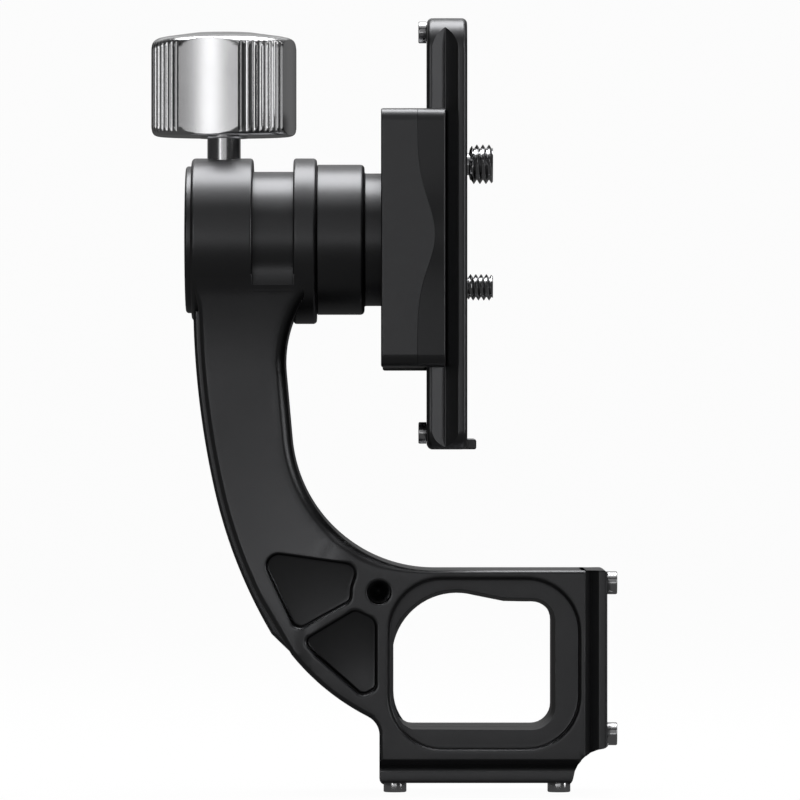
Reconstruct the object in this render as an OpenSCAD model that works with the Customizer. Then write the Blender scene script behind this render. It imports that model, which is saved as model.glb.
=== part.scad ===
// Side-mount gimbal head: C-shaped arm on a block with two dovetails, tilting lens clamp.
// Millimetres, +Z up, origin at the middle of the foot dovetail's underside.
// X runs along the tilt axis from the hub to the lens plate, Y across, -Y is the front face.

/* [Base block] */
// Length of the foot dovetail along X
foot_len = 46; // [44:0.5:50]
// Width over the flanges of the foot and side dovetails
dovetail_w = 38; // [37:0.25:39]
// Height of the top of the block
base_top = 50.5; // [48:0.5:54]
// Distance from the foot's centre to the face of the side dovetail
side_reach = 31.15; // [30:0.25:34]
// Radius of the scoop between the two dovetails
scoop_r = 8.2; // [7:0.1:9]
// Height of the foot dovetail's flange
foot_flange = 2.7; // [2:0.1:3.2]
// Height of the foot dovetail's groove
foot_groove = 2.6; // [2.2:0.1:3]
// Thickness of the side dovetail's flange
side_flange = 2.05; // [1.6:0.1:2.6]
// Width of the side dovetail's groove
side_groove = 3; // [2.4:0.1:3.4]
// Depth of both grooves
groove_d = 1.8; // [1.4:0.1:2.2]

/* [Window in the block] */
// Length of the recess round the window
recess_len = 45.2; // [42:0.2:46]
// Height of the recess round the window
recess_h = 40.4; // [38:0.2:41]
// Depth of the recess on each face
recess_d = 5; // [3:0.5:7]
// Corner radius of the recess
recess_r = 12.6; // [8:0.2:14]
// Width of the ledge at the side dovetail's end
ledge_side = 6.45; // [5:0.25:8]
// Height of the ledge at the foot
ledge_foot = 5.1; // [4:0.25:7]
// Radius of the window's swept corner
sweep_r = 15.4; // [13:0.2:17]
// Radius of the window's other corners
window_r = 4.8; // [3:0.2:6]

/* [Arm] */
// Thickness of the arm at its waist
waist_t = 28.4; // [26:0.2:30]
// Radius of the hollow in the arm's faces
hollow_r = 130; // [115:1:145]
// Radius of the opening under the lens plate
opening_r = 34.15; // [32:0.25:36]
// Radius of the flare under the hub
flare_r = 28.1; // [26:0.1:30]
// Radius of the upper part of the arm's back
back_r = 209.3; // [195:1:220]
// Radius of the lower part of the arm's back
heel_r = 119; // [112:1:125]
// Radius of the arm's underside
belly_r = 57.1; // [55:0.5:59]
// Width of the raised spine along the back
spine_w = 18; // [14:0.5:22]
// Height of the raised spine
spine_h = 1.5; // [0.8:0.1:1.8]
// Depth of the lightening pockets
pocket_d = 9; // [5:0.5:13]
// Depth of the accessory socket
socket_depth = 10; // [8:0.5:14]
// Diameter of the accessory socket
socket_d = 5.5; // [5:0.1:6]

/* [Hub] */
// Height of the tilt axis above the foot
axis_h = 129.4; // [126:0.5:134]
// Distance from the foot's centre to the outer face of the hub
hub_reach = 68; // [67:0.25:70]
// Radius of the hub
hub_r = 19.5; // [18.5:0.1:20.5]
// Width of the hub's collar
collar_w = 14.8; // [14:0.2:16]
// Width of the groove beside the collar
neck_groove_w = 9.6; // [8:0.2:10.4]
// Depth of the groove beside the collar
neck_groove_d = 3.2; // [2:0.1:3.6]
// Width of the hub's flange
flange_w = 5.6; // [5:0.1:6.4]
// Radius of the bearing bore
bore_r = 13; // [12.6:0.1:13.4]
// Thickness of the hub's end cap
cap_t = 1.4; // [1:0.05:2.5]
// Radius of the hub's end cap
cap_r = 17.6; // [16:0.1:18.5]

/* [Bearings and spindle] */
// Radius of the spindle's shaft
shaft_r = 8.5; // [8:0.1:9]
// Width of each ball bearing
bearing_w = 5; // [4.5:0.1:5.5]
// Radius of a bearing ball
ball_r = 1.4; // [1.2:0.05:1.5]
// Number of balls in each bearing
balls = 14; // [10:1:16]
// Radius of the brake ring on the shaft
brake_r = 12.3; // [11.5:0.1:12.4]
// Radius of the turning sleeve
sleeve_r = 18; // [17:0.1:19]
// Length of the turning sleeve
sleeve_len = 11.3; // [9:0.1:12]
// Radius of the neck behind the clamp
neck_r = 15.9; // [15:0.1:17]
// Length of the neck behind the clamp
neck_len = 4; // [3:0.1:6]

/* [Locking knob] */
// Radius of the knob over its flutes
knob_r = 17.7; // [16.5:0.1:18.2]
// Height of the knob
knob_h = 24.9; // [22:0.2:27]
// Gap between the hub and the knob
knob_gap = 4.75; // [3:0.25:6]
// Height of the boss under the knob
knob_boss_h = 0.45; // [0.3:0.05:1]
// Radius of the boss under the knob
knob_boss_r = 6.1; // [5.5:0.1:8]
// Distance from the knob's axis to each flat
knob_flat = 16.15; // [15.2:0.05:16.4]
// Flutes between two flats
flutes = 8; // [5:1:8]
// Depth of each flute
flute_d = 0.6; // [0.3:0.05:0.8]
// Radius of the locking stud
stud_r = 4; // [3.5:0.1:4.5]

/* [Lens clamp] */
// Thickness of the clamp block behind the lens plate
bed_t = 10.82; // [10:0.1:12]
// Width of the clamp from its axis to each outer face
clamp_half = 30; // [28.5:0.5:32]
// Height of the clamp
clamp_h = 61.2; // [58:0.2:64]
// Extra height of the moving jaw
jaw_extra = 1.4; // [0:0.1:2]
// Distance from the clamp's middle to the joint between block and jaw
jaw_split = 13.4; // [13:0.1:14]
// Depth of the scalloped bevel on the front of the block
bevel_d = 0.7; // [0.3:0.1:1]
// Radius of the clamping screw
clamp_screw_r = 3; // [2.5:0.1:3]
// Radius of the clamping knob
clamp_knob_r = 12; // [10:0.2:12.4]
// Height of the clamping knob
clamp_knob_h = 12; // [10:0.5:16]
// Radius of the jaw's guide pins
guide_r = 2; // [1.5:0.1:2.3]
// Distance of the guide pins from the clamping screw
guide_off = 21; // [18:0.5:24]
// Distance of the clamp's fixing bolts from the tilt axis
bolt_circle = 11.6; // [11.2:0.1:12]

/* [Lens plate] */
// Length of the lens plate
plate_len = 102.8; // [100:0.2:108]
// Thickness of the lens plate
plate_t = 9.6; // [9.2:0.1:11]
// Distance from the tilt axis up to the plate's top end
plate_up = 52.6; // [51:0.2:56]
// Thickness of the plate's clamped flange at its edge
plate_flange = 1.2; // [0.8:0.1:1.6]
// Width of each side of the plate's groove
plate_flank = 3.15; // [2.8:0.05:3.4]
// Depth of the plate's groove
plate_groove = 2.3; // [2:0.1:2.6]
// Radius of the plate's corners
plate_corner = 4.5; // [3.5:0.5:8]
// Height of the anti-twist lip at the lower end
lip_h = 2.2; // [1.5:0.1:3]
// Thickness of the anti-twist lip
lip_t = 2.5; // [2:0.1:3.5]
// Height of the large lens screw above the tilt axis
large_up = 18.1; // [14:0.5:30]
// Height of the small lens screw below the tilt axis
small_down = 11.4; // [9:0.5:30]
// Major diameter of the large lens screw
large_d = 9.525; // [9:0.025:10]
// Major diameter of the small lens screw
small_d = 6.35; // [6:0.05:6.6]
// Length of both lens screws beyond the plate
stud_out = 6.27; // [5:0.1:8]

/* [Small screws and fits] */
// Radius of a stop screw's thread
stop_r = 1.5; // [1.2:0.1:1.7]
// Radius of a stop screw's head on the block
stop_head_r = 2.75; // [2.3:0.05:2.9]
// Height of a stop screw's head on the block
stop_head_h = 3; // [2:0.1:3.4]
// Radius of a stop screw's head on the lens plate
low_head_r = 2.6; // [2.2:0.05:2.8]
// Height of a stop screw's head on the lens plate
low_head_h = 2; // [1.5:0.1:2.5]
// Clearance of sliding and turning fits
fit = 0.08; // [0.05:0.01:0.1]
// Gap between the hub and the turning sleeve
run_gap = 0.1; // [0.05:0.05:0.4]

/* [Hidden] */
$fn = 96;
seat = 0.02;
over = 1;

half_w = dovetail_w / 2;
foot_x0 = -foot_len / 2;
hub_x0 = -hub_reach;
groove_x0 = hub_x0 + collar_w;
flange_x0 = groove_x0 + neck_groove_w;
hub_x1 = flange_x0 + flange_w;
sleeve_x0 = hub_x1 + run_gap;
neck_x0 = sleeve_x0 + sleeve_len;
clamp_x0 = neck_x0 + neck_len;
bed_x = clamp_x0 + bed_t;
plate_x0 = bed_x + fit;
root_x = plate_x0 + plate_flange + plate_flank;
plate_x1 = plate_x0 + plate_t;
plate_z1 = axis_h + plate_up;
plate_z0 = plate_z1 - plate_len;

// Arcs of the arm's outline in the XZ plane, each one tied to the piece it meets
open_c = [foot_x0 + foot_len * 0.2837, base_top + opening_r];
flare_c = [hub_x1 + flare_r * 0.7331, axis_h - flare_r * 1.0463];
back_c = [hub_x0 + back_r + collar_w * 0.0338, axis_h - hub_r * 0.718];
back_turn = 192.67;
heel_c = back_c + (back_r - heel_r) * [cos(back_turn), sin(back_turn)];
heel_z = back_c[1] + back_r * sin(back_turn);
belly_c = [foot_x0 + 23.25, base_top + 16.1];
kink_z = base_top - 15.5;
kink_x = heel_c[0] - sqrt(heel_r * heel_r - pow(heel_c[1] - kink_z, 2));
toe_r = 4.8;
toe_x = foot_x0 - toe_r;
toe_z = belly_c[1] - sqrt(pow(belly_r + toe_r, 2) - pow(toe_x - belly_c[0], 2));
waist_z = axis_h - 33.3;
ramp_turn = -55;
ramp_run = 34;
ramp_p = [foot_x0 - 6.5, base_top + 2];

// Lengths along the shaft
cap_spigot = 1.2;
nut_x0 = hub_x0 + cap_spigot + 0.4;
nut_w = 2.4;
brake_x0 = nut_x0 + nut_w;
inner_x1 = hub_x1 - 1;
inner_x0 = inner_x1 - bearing_w;
outer_x1 = hub_x0 + collar_w - 0.9 + bearing_w;
outer_x0 = outer_x1 - bearing_w;
pitch_r = (bore_r + shaft_r) / 2;
ring_gap = 1.5;
lock_x = hub_x0 + 7.7;
shoe_z0 = axis_h + brake_r + fit;
shoe_h = 3.6;
knob_z0 = axis_h + hub_r + knob_gap + knob_boss_h;

// Places in the clamp
screw_x = (clamp_x0 + bed_x) / 2;
clamp_z0 = axis_h - clamp_h / 2;
clamp_z1 = axis_h + clamp_h / 2;
jaw_gap = 0.5;
jaw_x0 = clamp_x0 + run_gap;
knob_washer_t = 1.2;
bolt_r = 2;
bolt_head_r = 3.5;
bolt_head_h = 4;
bolt_in = 11;

// Places on the lens plate
large_z = axis_h + large_up;
small_z = axis_h - small_down;
shoulder_x = plate_x1 - 4.9;
head_t = 3;
washer_t = 1;
large_head_r = 7;
small_head_r = 4.9;
large_slot = [axis_h + 12, axis_h + plate_up - 16];
small_slot = [plate_z0 + 14, axis_h - 8];
stop_in = 2.9;
lip_half = half_w - 8;

function ring(c, r, a0, a1, n) =
    [for (i = [0:n]) c + r * [cos(a0 + (a1 - a0) * i / n), sin(a0 + (a1 - a0) * i / n)]];

// Points of a corner at p rounded by r, between the points before and after it
function corner(p, a, b, r, n) =
    let (u = (a - p) / norm(a - p), v = (b - p) / norm(b - p),
        half = acos(u * v) / 2, t = r / tan(half),
        c = p + (u + v) / norm(u + v) * r / sin(half),
        s = p + u * t - c, e = p + v * t - c,
        a0 = atan2(s[1], s[0]), d = atan2(e[1], e[0]) - a0,
        turn = d > 180 ? d - 360 : d < -180 ? d + 360 : d)
    ring(c, r, a0, a0 + turn, n);

function rounded(p, r, n = 5) = let (m = len(p))
    [for (k = [0:m - 1]) each corner(p[k], p[(k + m - 1) % m], p[(k + 1) % m], is_list(r) ? r[k] : r, n)];

function box_points(x0, z0, x1, z1) = [[x0, z0], [x1, z0], [x1, z1], [x0, z1]];

// An XZ shape carried along Y, a YZ shape along X
module along_y(y0, y1) translate([0, y1, 0]) rotate([90, 0, 0]) linear_extrude(y1 - y0) children();
module along_x(x0, x1) translate([x0, 0, 0]) rotate([90, 0, 90]) linear_extrude(x1 - x0) children();

// Cylinders along the tilt axis, across the arm and up
module x_rod(r, x0, x1, y = 0, z = axis_h)
    translate([x0, y, z]) rotate([0, 90, 0]) cylinder(r = r, h = x1 - x0);
module y_rod(c, r, y0, y1)
    translate([c[0], y0, c[1]]) rotate([-90, 0, 0]) cylinder(r = r, h = y1 - y0);
module z_rod(r, x, z0, z1) translate([x, 0, z0]) cylinder(r = r, h = z1 - z0);

// A turned shape about the tilt axis, points are [radius, x]
module turned(p) translate([0, 0, axis_h]) rotate([0, 90, 0]) rotate_extrude() polygon(p);

module both_faces() {
    children();
    mirror([0, 1, 0]) children();
}

// Cap-head screw along +Z: head above zero, thread below, six-sided key recess
module cap_screw(r, len, head_r, head_h, key_r) difference() {
    union() {
        cylinder(r = head_r - 0.3, h = head_h);
        cylinder(r = head_r, h = head_h - 0.3);
        translate([0, 0, -len]) cylinder(r = r, h = len + 0.1);
    }
    translate([0, 0, head_h * 0.4]) cylinder(r = key_r, h = head_h, $fn = 6);
}

// Outline of the opening between the plate, the arm and the block
module opening(half) {
    side = 185;
    p = open_c + opening_r * [cos(side), sin(side)];
    q = flare_c + flare_r * [cos(side), sin(side)];
    y_rod(open_c, opening_r, -half, half);
    y_rod(flare_c, flare_r, -half, half);
    along_y(-half, half) polygon([p, q, flare_c, open_c]);
    along_y(-half, half) polygon(box_points(open_c[0], base_top, side_reach + over, open_c[1]));
}

// The arm's plan, with its back drawn in where the spine stands out
module arm_plan(half, inset) difference() {
    union() {
        intersection() {
            y_rod(back_c, back_r - inset, -half, half);
            along_y(-half, half) polygon(box_points(hub_x0 - over, heel_z, hub_x1, axis_h));
        }
        intersection() {
            y_rod(heel_c, heel_r - inset, -half, half);
            along_y(-half, half) polygon([
                [kink_x, kink_z], [kink_x + 12, kink_z - 11.6], [open_c[0], kink_z - 11.6],
                [open_c[0], heel_z], [hub_x0 - over, heel_z], [hub_x0 - over, kink_z]]);
        }
        intersection() {
            y_rod(belly_c, belly_r, -half, half);
            along_y(-half, half) polygon(box_points(kink_x + 6, 0, open_c[0], base_top));
        }
        difference() {
            along_y(-half, half) polygon([
                [toe_x, toe_z], [foot_x0 + over, toe_z], [foot_x0 + over, base_top / 2],
                belly_c + belly_r * [toe_x - belly_c[0], toe_z - belly_c[1]] / (belly_r + toe_r) + [1, 1]]);
            y_rod([toe_x, toe_z], toe_r, -half - over, half + over);
        }
    }
    opening(half + over);
}

// What the hollow takes from the front face: a wide cylinder below the hub that runs
// down into a flat, held off the block by a second one that rises towards it at a slant
module hollow() {
    deep = waist_t / 2;
    flat = 0.05;
    far = 60;
    ramp_r = 3.53 * ramp_run;
    intersection() {
        union() {
            x_rod(hollow_r, hub_x0 - 5, side_reach, -deep - hollow_r, waist_z);
            translate([hub_x0 - 5, -far, -over]) cube([200, far - deep - flat, waist_z + over]);
        }
        translate([ramp_p[0], 0, ramp_p[1]]) rotate([0, -ramp_turn, 0]) union() {
            translate([-ramp_run, -deep - ramp_r, -far * 2]) cylinder(r = ramp_r, h = far * 4);
            translate([-far * 3, -far, -far * 2]) cube([far * 3 - ramp_run, far - deep - flat, far * 4]);
        }
    }
}

// Upper and lower lightening pockets, placed from the block's inner top corner
module pockets(y0, y1) {
    top = [foot_x0, base_top];
    along_y(y0, y1) polygon(rounded([for (p = [[-29.4, 4.9], [-4.4, 1.55], [-6.45, -4.2],
        [-6.5, -7.5], [-20.1, -14.9]]) top + p], [3.2, 2.9, 5, 2.5, 2.5]));
    along_y(y0, y1) polygon(rounded([for (p = [[-18.6, -16.6], [-5.9, -9], [-0.5, -11.5],
        [-0.5, -28.3], [-4.1, -30.4], [-15.2, -20.6]]) top + p], [1.6, 2.4, 3.2, 2, 2.4, 3]));
}

module window_hole(half) {
    x0 = recess_mid - recess_len / 2 + 0.7;
    x1 = recess_mid + recess_len / 2 - ledge_side;
    z0 = recess_z0 + ledge_foot;
    z1 = recess_z0 + recess_h - 5.55;
    c = [x0 + sweep_r, z1 + 2.05 - sweep_r];
    along_y(-half, half) polygon(rounded([[x0, z0], [x1, z0], [x1, z1], [c[0], z1], [c[0], c[1]], [x0, c[1]]],
        [window_r, window_r, window_r, 0.1, 0.1, 0.1]));
    y_rod(c, sweep_r, -half, half);
    along_y(-half, half) polygon([c + sweep_r * [cos(75), sin(75)], [c[0] + 11, z1], [c[0] + 11, z1 - 1], c]);
}
recess_mid = foot_x0 + 24.9;
recess_z0 = base_top - 2 - recess_h;

module block() difference() {
    along_y(-half_w, half_w) polygon(rounded(
        [[foot_x0, 0], [side_reach, 0], [side_reach, base_top], [foot_x0, base_top]], [1.2, 0.1, 1.2, 0.1]));
    y_rod([side_reach, 0], scoop_r, -half_w - over, half_w + over);
    both_faces() {
        along_x(foot_x0 - over, side_reach + over) polygon([
            [-half_w - over, foot_flange], [-half_w, foot_flange],
            [-half_w + groove_d, foot_flange + foot_groove * 0.62],
            [-half_w, foot_flange + foot_groove], [-half_w - over, foot_flange + foot_groove]]);
        translate([0, 0, -over]) linear_extrude(base_top + 2 * over) polygon([
            [side_reach - side_flange, -half_w - over], [side_reach - side_flange, -half_w],
            [side_reach - side_flange - side_groove * 0.62, -half_w + groove_d],
            [side_reach - side_flange - side_groove, -half_w],
            [side_reach - side_flange - side_groove, -half_w - over]]);
    }
}

// Where the four stop screws enter the block: foot pair, then side pair
foot_stops = [foot_x0 + 3.7, -foot_x0 - 3];
side_stops = [base_top - stop_head_r * 1.218, scoop_r + stop_head_r];
stop_len = 6;

module arm() color("dimgray") difference() {
    union() {
        block();
        difference() {
            union() {
                arm_plan(spine_w / 2, 0);
                arm_plan(half_w, spine_h);
            }
            both_faces() hollow();
            both_faces() translate([hub_x0 - collar_w / 3, -half_w - over, axis_h - hub_r * 0.55])
                cube([hub_reach + side_reach, half_w + over - waist_t / 2 - spine_h, hub_r]);
        }
        turned([[0, hub_x0], [hub_r - 0.8, hub_x0], [hub_r, hub_x0 + 0.8], [hub_r, hub_x1 - 0.7],
            [hub_r - 0.7, hub_x1], [0, hub_x1]]);
    }
    // groove beside the collar, running out towards the arm below the axis
    difference() {
        translate([groove_x0, -hub_r - over, axis_h - hub_r * 0.9]) cube([neck_groove_w, 2 * hub_r + 2 * over, 50]);
        x_rod(hub_r - neck_groove_d, groove_x0 - over, flange_x0 + over);
        along_x(groove_x0 - over, flange_x0 + over) polygon([for (p = [
            [-0.8975, -0.27], [0.8975, -0.27], [1.003, -0.724], [1.003, -3], [-1.003, -3], [-1.003, -0.724]])
            [0, axis_h] + p * (hub_r - neck_groove_d)]);
    }
    // bearing bore from both ends up to a shoulder
    x_rod(bore_r, hub_x0 - over, outer_x1);
    x_rod(bore_r - ring_gap, outer_x0, inner_x1);
    x_rod(bore_r, inner_x0, hub_x1 + over);
    z_rod(stud_r + fit, lock_x, axis_h, axis_h + hub_r + over);
    both_faces() along_y(-half_w - over, -half_w + recess_d) polygon(rounded(
        box_points(recess_mid - recess_len / 2, recess_z0, recess_mid + recess_len / 2, recess_z0 + recess_h),
        recess_r, 8));
    window_hole(half_w);
    both_faces() pockets(-half_w - over, -half_w + pocket_d);
    y_rod([foot_x0 - 0.1, base_top - 5.2], socket_d / 2, -half_w - over, -half_w + socket_depth);
    for (x = foot_stops) z_rod(stop_r + seat, x, -over, stop_len + 0.3);
    for (z = side_stops) x_rod(stop_r + seat, side_reach - stop_len - 0.3, side_reach + over, 0, z);
}

module base_stop_screws() color("silver") {
    for (x = foot_stops) translate([x, 0, 0]) mirror([0, 0, 1]) cap_screw(stop_r, stop_len, stop_head_r, stop_head_h, 1.4);
    for (z = side_stops) translate([side_reach, 0, z]) rotate([0, 90, 0]) cap_screw(stop_r, stop_len, stop_head_r, stop_head_h, 1.4);
}

module end_cap() color("dimgray") turned([
    [0, hub_x0 - cap_t], [cap_r - 1.6, hub_x0 - cap_t], [cap_r, hub_x0 - cap_t * 0.4], [cap_r, hub_x0],
    [bore_r - seat, hub_x0], [bore_r - seat, hub_x0 + cap_spigot], [0, hub_x0 + cap_spigot]]);

// One bearing's outer and inner ring, each with its ball track
module outer_ring(x) turned_ring(x, bore_r - seat, bore_r - ring_gap);
module inner_ring(x) turned_ring(x, shaft_r + ring_gap, shaft_r + seat);
module turned_ring(x, r1, r0) difference() {
    turned([[r0, x], [r1, x], [r1, x + bearing_w], [r0, x + bearing_w]]);
    translate([x + bearing_w / 2, 0, axis_h]) rotate([0, 90, 0]) rotate_extrude()
        translate([pitch_r, 0]) circle(r = ball_r + 0.05);
}
module bearing_outer_rings() color("silver") for (x = [outer_x0, inner_x0]) outer_ring(x);
module bearing_inner_rings() color("silver") for (x = [outer_x0, inner_x0]) inner_ring(x);
module ball_circle(x, r) translate([x + bearing_w / 2, 0, axis_h])
    for (i = [0:balls - 1]) rotate([360 * i / balls, 0, 0]) translate([0, 0, pitch_r]) sphere(r = r);
module bearing_balls() color("silver") for (x = [outer_x0, inner_x0]) ball_circle(x, ball_r);
module bearing_cages() color("goldenrod") for (x = [outer_x0, inner_x0]) difference() {
    turned([[pitch_r - 0.4, x + 0.6], [pitch_r + 0.4, x + 0.6],
        [pitch_r + 0.4, x + bearing_w - 0.6], [pitch_r - 0.4, x + bearing_w - 0.6]]);
    ball_circle(x, ball_r + seat);
}
module bearing_spacer() color("silver")
    turned([[shaft_r + seat, outer_x1], [shaft_r + ring_gap, outer_x1],
        [shaft_r + ring_gap, inner_x0], [shaft_r + seat, inner_x0]]);
module brake_ring() color("silver")
    turned([[shaft_r + seat, brake_x0], [brake_r, brake_x0], [brake_r, outer_x0 - 1],
        [shaft_r + ring_gap, outer_x0 - 1], [shaft_r + ring_gap, outer_x0], [shaft_r + seat, outer_x0]]);
module spindle_nut() color("silver") difference() {
    x_rod(brake_r - 1, nut_x0, brake_x0);
    x_rod(shaft_r + seat, nut_x0 - over, brake_x0 + over);
    for (a = [0:90:270]) translate([0, 0, axis_h]) rotate([a, 0, 0])
        translate([nut_x0 - over, brake_r - 2.2, -1.2]) cube([nut_w + 2 * over, 3, 2.4]);
}
module spindle_shaft() color("silver") turned([[0, nut_x0], [shaft_r - 0.6, nut_x0], [shaft_r, nut_x0 + 0.6],
    [shaft_r, inner_x1], [shaft_r, neck_x0], [0, neck_x0]]);

module bolt_places() for (a = [45:90:315])
    translate([0, bolt_circle * cos(a), axis_h + bolt_circle * sin(a)]) children();

module spindle_sleeve() color("dimgray") difference() {
    union() {
        turned([[0, inner_x1], [shaft_r + ring_gap, inner_x1], [shaft_r + ring_gap, sleeve_x0],
            [sleeve_r - 0.25, sleeve_x0], [sleeve_r, sleeve_x0 + 0.25], [sleeve_r, neck_x0 - 0.6],
            [sleeve_r - 0.6, neck_x0], [neck_r, neck_x0], [neck_r, clamp_x0], [0, clamp_x0]]);
    }
    x_rod(shaft_r + seat, inner_x1 - over, neck_x0 + seat);
    bolt_places() translate([clamp_x0 - bolt_in, 0, 0]) rotate([0, 90, 0]) cylinder(r = bolt_r + seat, h = bolt_in + over);
}

module brake_shoe() color("wheat") difference() {
    z_rod(stud_r - 0.1, lock_x, axis_h, shoe_z0 + shoe_h);
    x_rod(brake_r + fit, lock_x - 2 * stud_r, lock_x + 2 * stud_r);
}
module lock_stud() color("silver") z_rod(stud_r, lock_x, shoe_z0 + shoe_h + seat, knob_z0 + knob_h * 0.6);

// Round knob with four flats and rows of upright flutes between them
module knob() color("gainsboro") difference() {
    translate([lock_x, 0, knob_z0]) rotate_extrude() polygon([
        [0, -knob_boss_h], [knob_boss_r, -knob_boss_h], [knob_boss_r, 0], [knob_r - 2.2, 0],
        [knob_r - 0.7, 0.6], [knob_r, 2.1], [knob_r, knob_h - 4], [knob_r - 0.7, knob_h - 2.3],
        [knob_r - 2, knob_h - 1.3], [knob_r - 3.6, knob_h - 0.85], [knob_r - 8, knob_h - 0.15],
        [knob_r - 10, knob_h], [0, knob_h]]);
    translate([lock_x, 0, knob_z0]) for (q = [0:3]) rotate([0, 0, 90 * q - 77.7]) {
        translate([knob_flat, -knob_r, -over]) cube([knob_r, 2 * knob_r, knob_h + 2 * over]);
        for (i = [0:flutes - 1]) rotate([0, 0, 45 + (i - (flutes - 1) / 2) * (90 - 2 * acos(knob_flat / knob_r)) / flutes])
            translate([knob_r - flute_d, 0, 1]) rotate([0, 0, -45]) cube([4, 4, knob_h - 3.5]);
    }
    z_rod(stud_r + seat, lock_x, knob_z0 - knob_boss_h - over, knob_z0 + knob_h * 0.6 + seat);
}

// Half of the clamp's section: bed, side wall and the lip over the plate's flange
module jaw_section(x0, y0, gap) polygon([
    [x0, y0], [x0, -clamp_half], [root_x, -clamp_half], [root_x, -half_w + plate_groove - gap],
    [plate_x0 + plate_flange, -half_w - gap], [bed_x, -half_w - gap], [bed_x, y0]]);

function clamp_side(z0, z1) = rounded([[-clamp_half, z0], [60, z0], [60, z1], [-clamp_half, z1]], [3, 1, 1, 3], 6);

// The scallop's bevel starts on a bell-shaped line and deepens towards the plate
module scallop() {
    n = 24;
    reach = clamp_h / 2 + 2;
    rise = 4.2;
    start = clamp_x0 + 8.55;
    along_y(-clamp_half - over, -clamp_half + bevel_d) polygon(concat(
        [for (i = [0:n]) let (t = -1 + 2 * i / n, z = t * reach)
            [start + rise * exp(-pow((z - 0.6) / 10.5, 2)), axis_h + z]],
        [[root_x + over, axis_h + reach], [root_x + over, axis_h - reach]]));
}

module clamp_body() color("dimgray") difference() {
    intersection() {
        translate([0, 0, clamp_z0]) linear_extrude(clamp_h) jaw_section(clamp_x0, jaw_split, fit);
        along_x(clamp_x0 - over, root_x + over) polygon(clamp_side(clamp_z0, clamp_z1));
    }
    scallop();
    bolt_places() {
        translate([clamp_x0 - over, 0, 0]) rotate([0, 90, 0]) cylinder(r = bolt_r + 0.1, h = bed_t + 2 * over);
        translate([bed_x - bolt_head_h - 0.5, 0, 0]) rotate([0, 90, 0]) cylinder(r = bolt_head_r + 0.2, h = bolt_head_h + over);
    }
    y_rod([screw_x, axis_h], clamp_screw_r + fit, -jaw_split, jaw_split + over);
    for (s = [-1, 1]) y_rod([screw_x, axis_h + s * guide_off], guide_r + seat, 0, jaw_split + over);
}
module clamp_bolts() color("silver") bolt_places() translate([bed_x - bolt_head_h - 0.5, 0, 0])
    rotate([0, 90, 0]) cap_screw(bolt_r, bed_x - bolt_head_h - 0.5 - clamp_x0 + bolt_in - 0.5, bolt_head_r, bolt_head_h, 1.7);
module jaw_guide_pins() color("silver")
    for (s = [-1, 1]) y_rod([screw_x, axis_h + s * guide_off], guide_r, 0.2, clamp_half - 4);

module moving_jaw() color("dimgray") difference() {
    mirror([0, 1, 0]) intersection() {
        translate([0, 0, clamp_z0 - jaw_extra / 2]) linear_extrude(clamp_h + jaw_extra)
            jaw_section(jaw_x0, -jaw_split - jaw_gap, fit);
        along_x(clamp_x0 - over, root_x + over) polygon(clamp_side(clamp_z0 - jaw_extra / 2, clamp_z1 + jaw_extra / 2));
    }
    y_rod([screw_x, axis_h], clamp_screw_r + fit, jaw_split, clamp_half + over);
    for (s = [-1, 1]) y_rod([screw_x, axis_h + s * guide_off], guide_r + fit, jaw_split, clamp_half - 2);
}
module clamp_screw() color("silver")
    y_rod([screw_x, axis_h], clamp_screw_r, -jaw_split + 5.5, clamp_half + fit + knob_washer_t + clamp_knob_h * 0.7);
module clamp_washer() color("silver") difference() {
    y_rod([screw_x, axis_h], clamp_screw_r + 3, clamp_half + fit, clamp_half + fit + knob_washer_t);
    y_rod([screw_x, axis_h], clamp_screw_r + seat, clamp_half, clamp_half + fit + knob_washer_t + over);
}
module clamp_knob() color("dimgray") difference() {
    translate([screw_x, clamp_half + fit + knob_washer_t, axis_h]) rotate([-90, 0, 0]) difference() {
        rotate_extrude() polygon([[0, 0], [clamp_screw_r + 2.6, 0], [clamp_knob_r - 1.5, 2.2],
            [clamp_knob_r, 3.2], [clamp_knob_r, clamp_knob_h - 1.2], [clamp_knob_r - 1.2, clamp_knob_h], [0, clamp_knob_h]]);
        for (a = [0:30:330]) rotate([0, 0, a]) translate([clamp_knob_r + 0.9, 0, 2]) cylinder(r = 1.9, h = clamp_knob_h);
    }
    y_rod([screw_x, axis_h], clamp_screw_r + seat, clamp_half, clamp_half + fit + knob_washer_t + clamp_knob_h * 0.7 + seat);
}

// A slot for a lens screw, with the wider channel for its head behind
module lens_slot(z0, z1, r, head_r) {
    for (p = [[r, plate_x0 - over, plate_x1 + over], [head_r, plate_x0 - over, shoulder_x]]) {
        for (z = [z0, z1]) x_rod(p[0], p[1], p[2], 0, z);
        translate([p[1], -p[0], z0]) cube([p[2] - p[1], 2 * p[0], z1 - z0]);
    }
}

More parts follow.
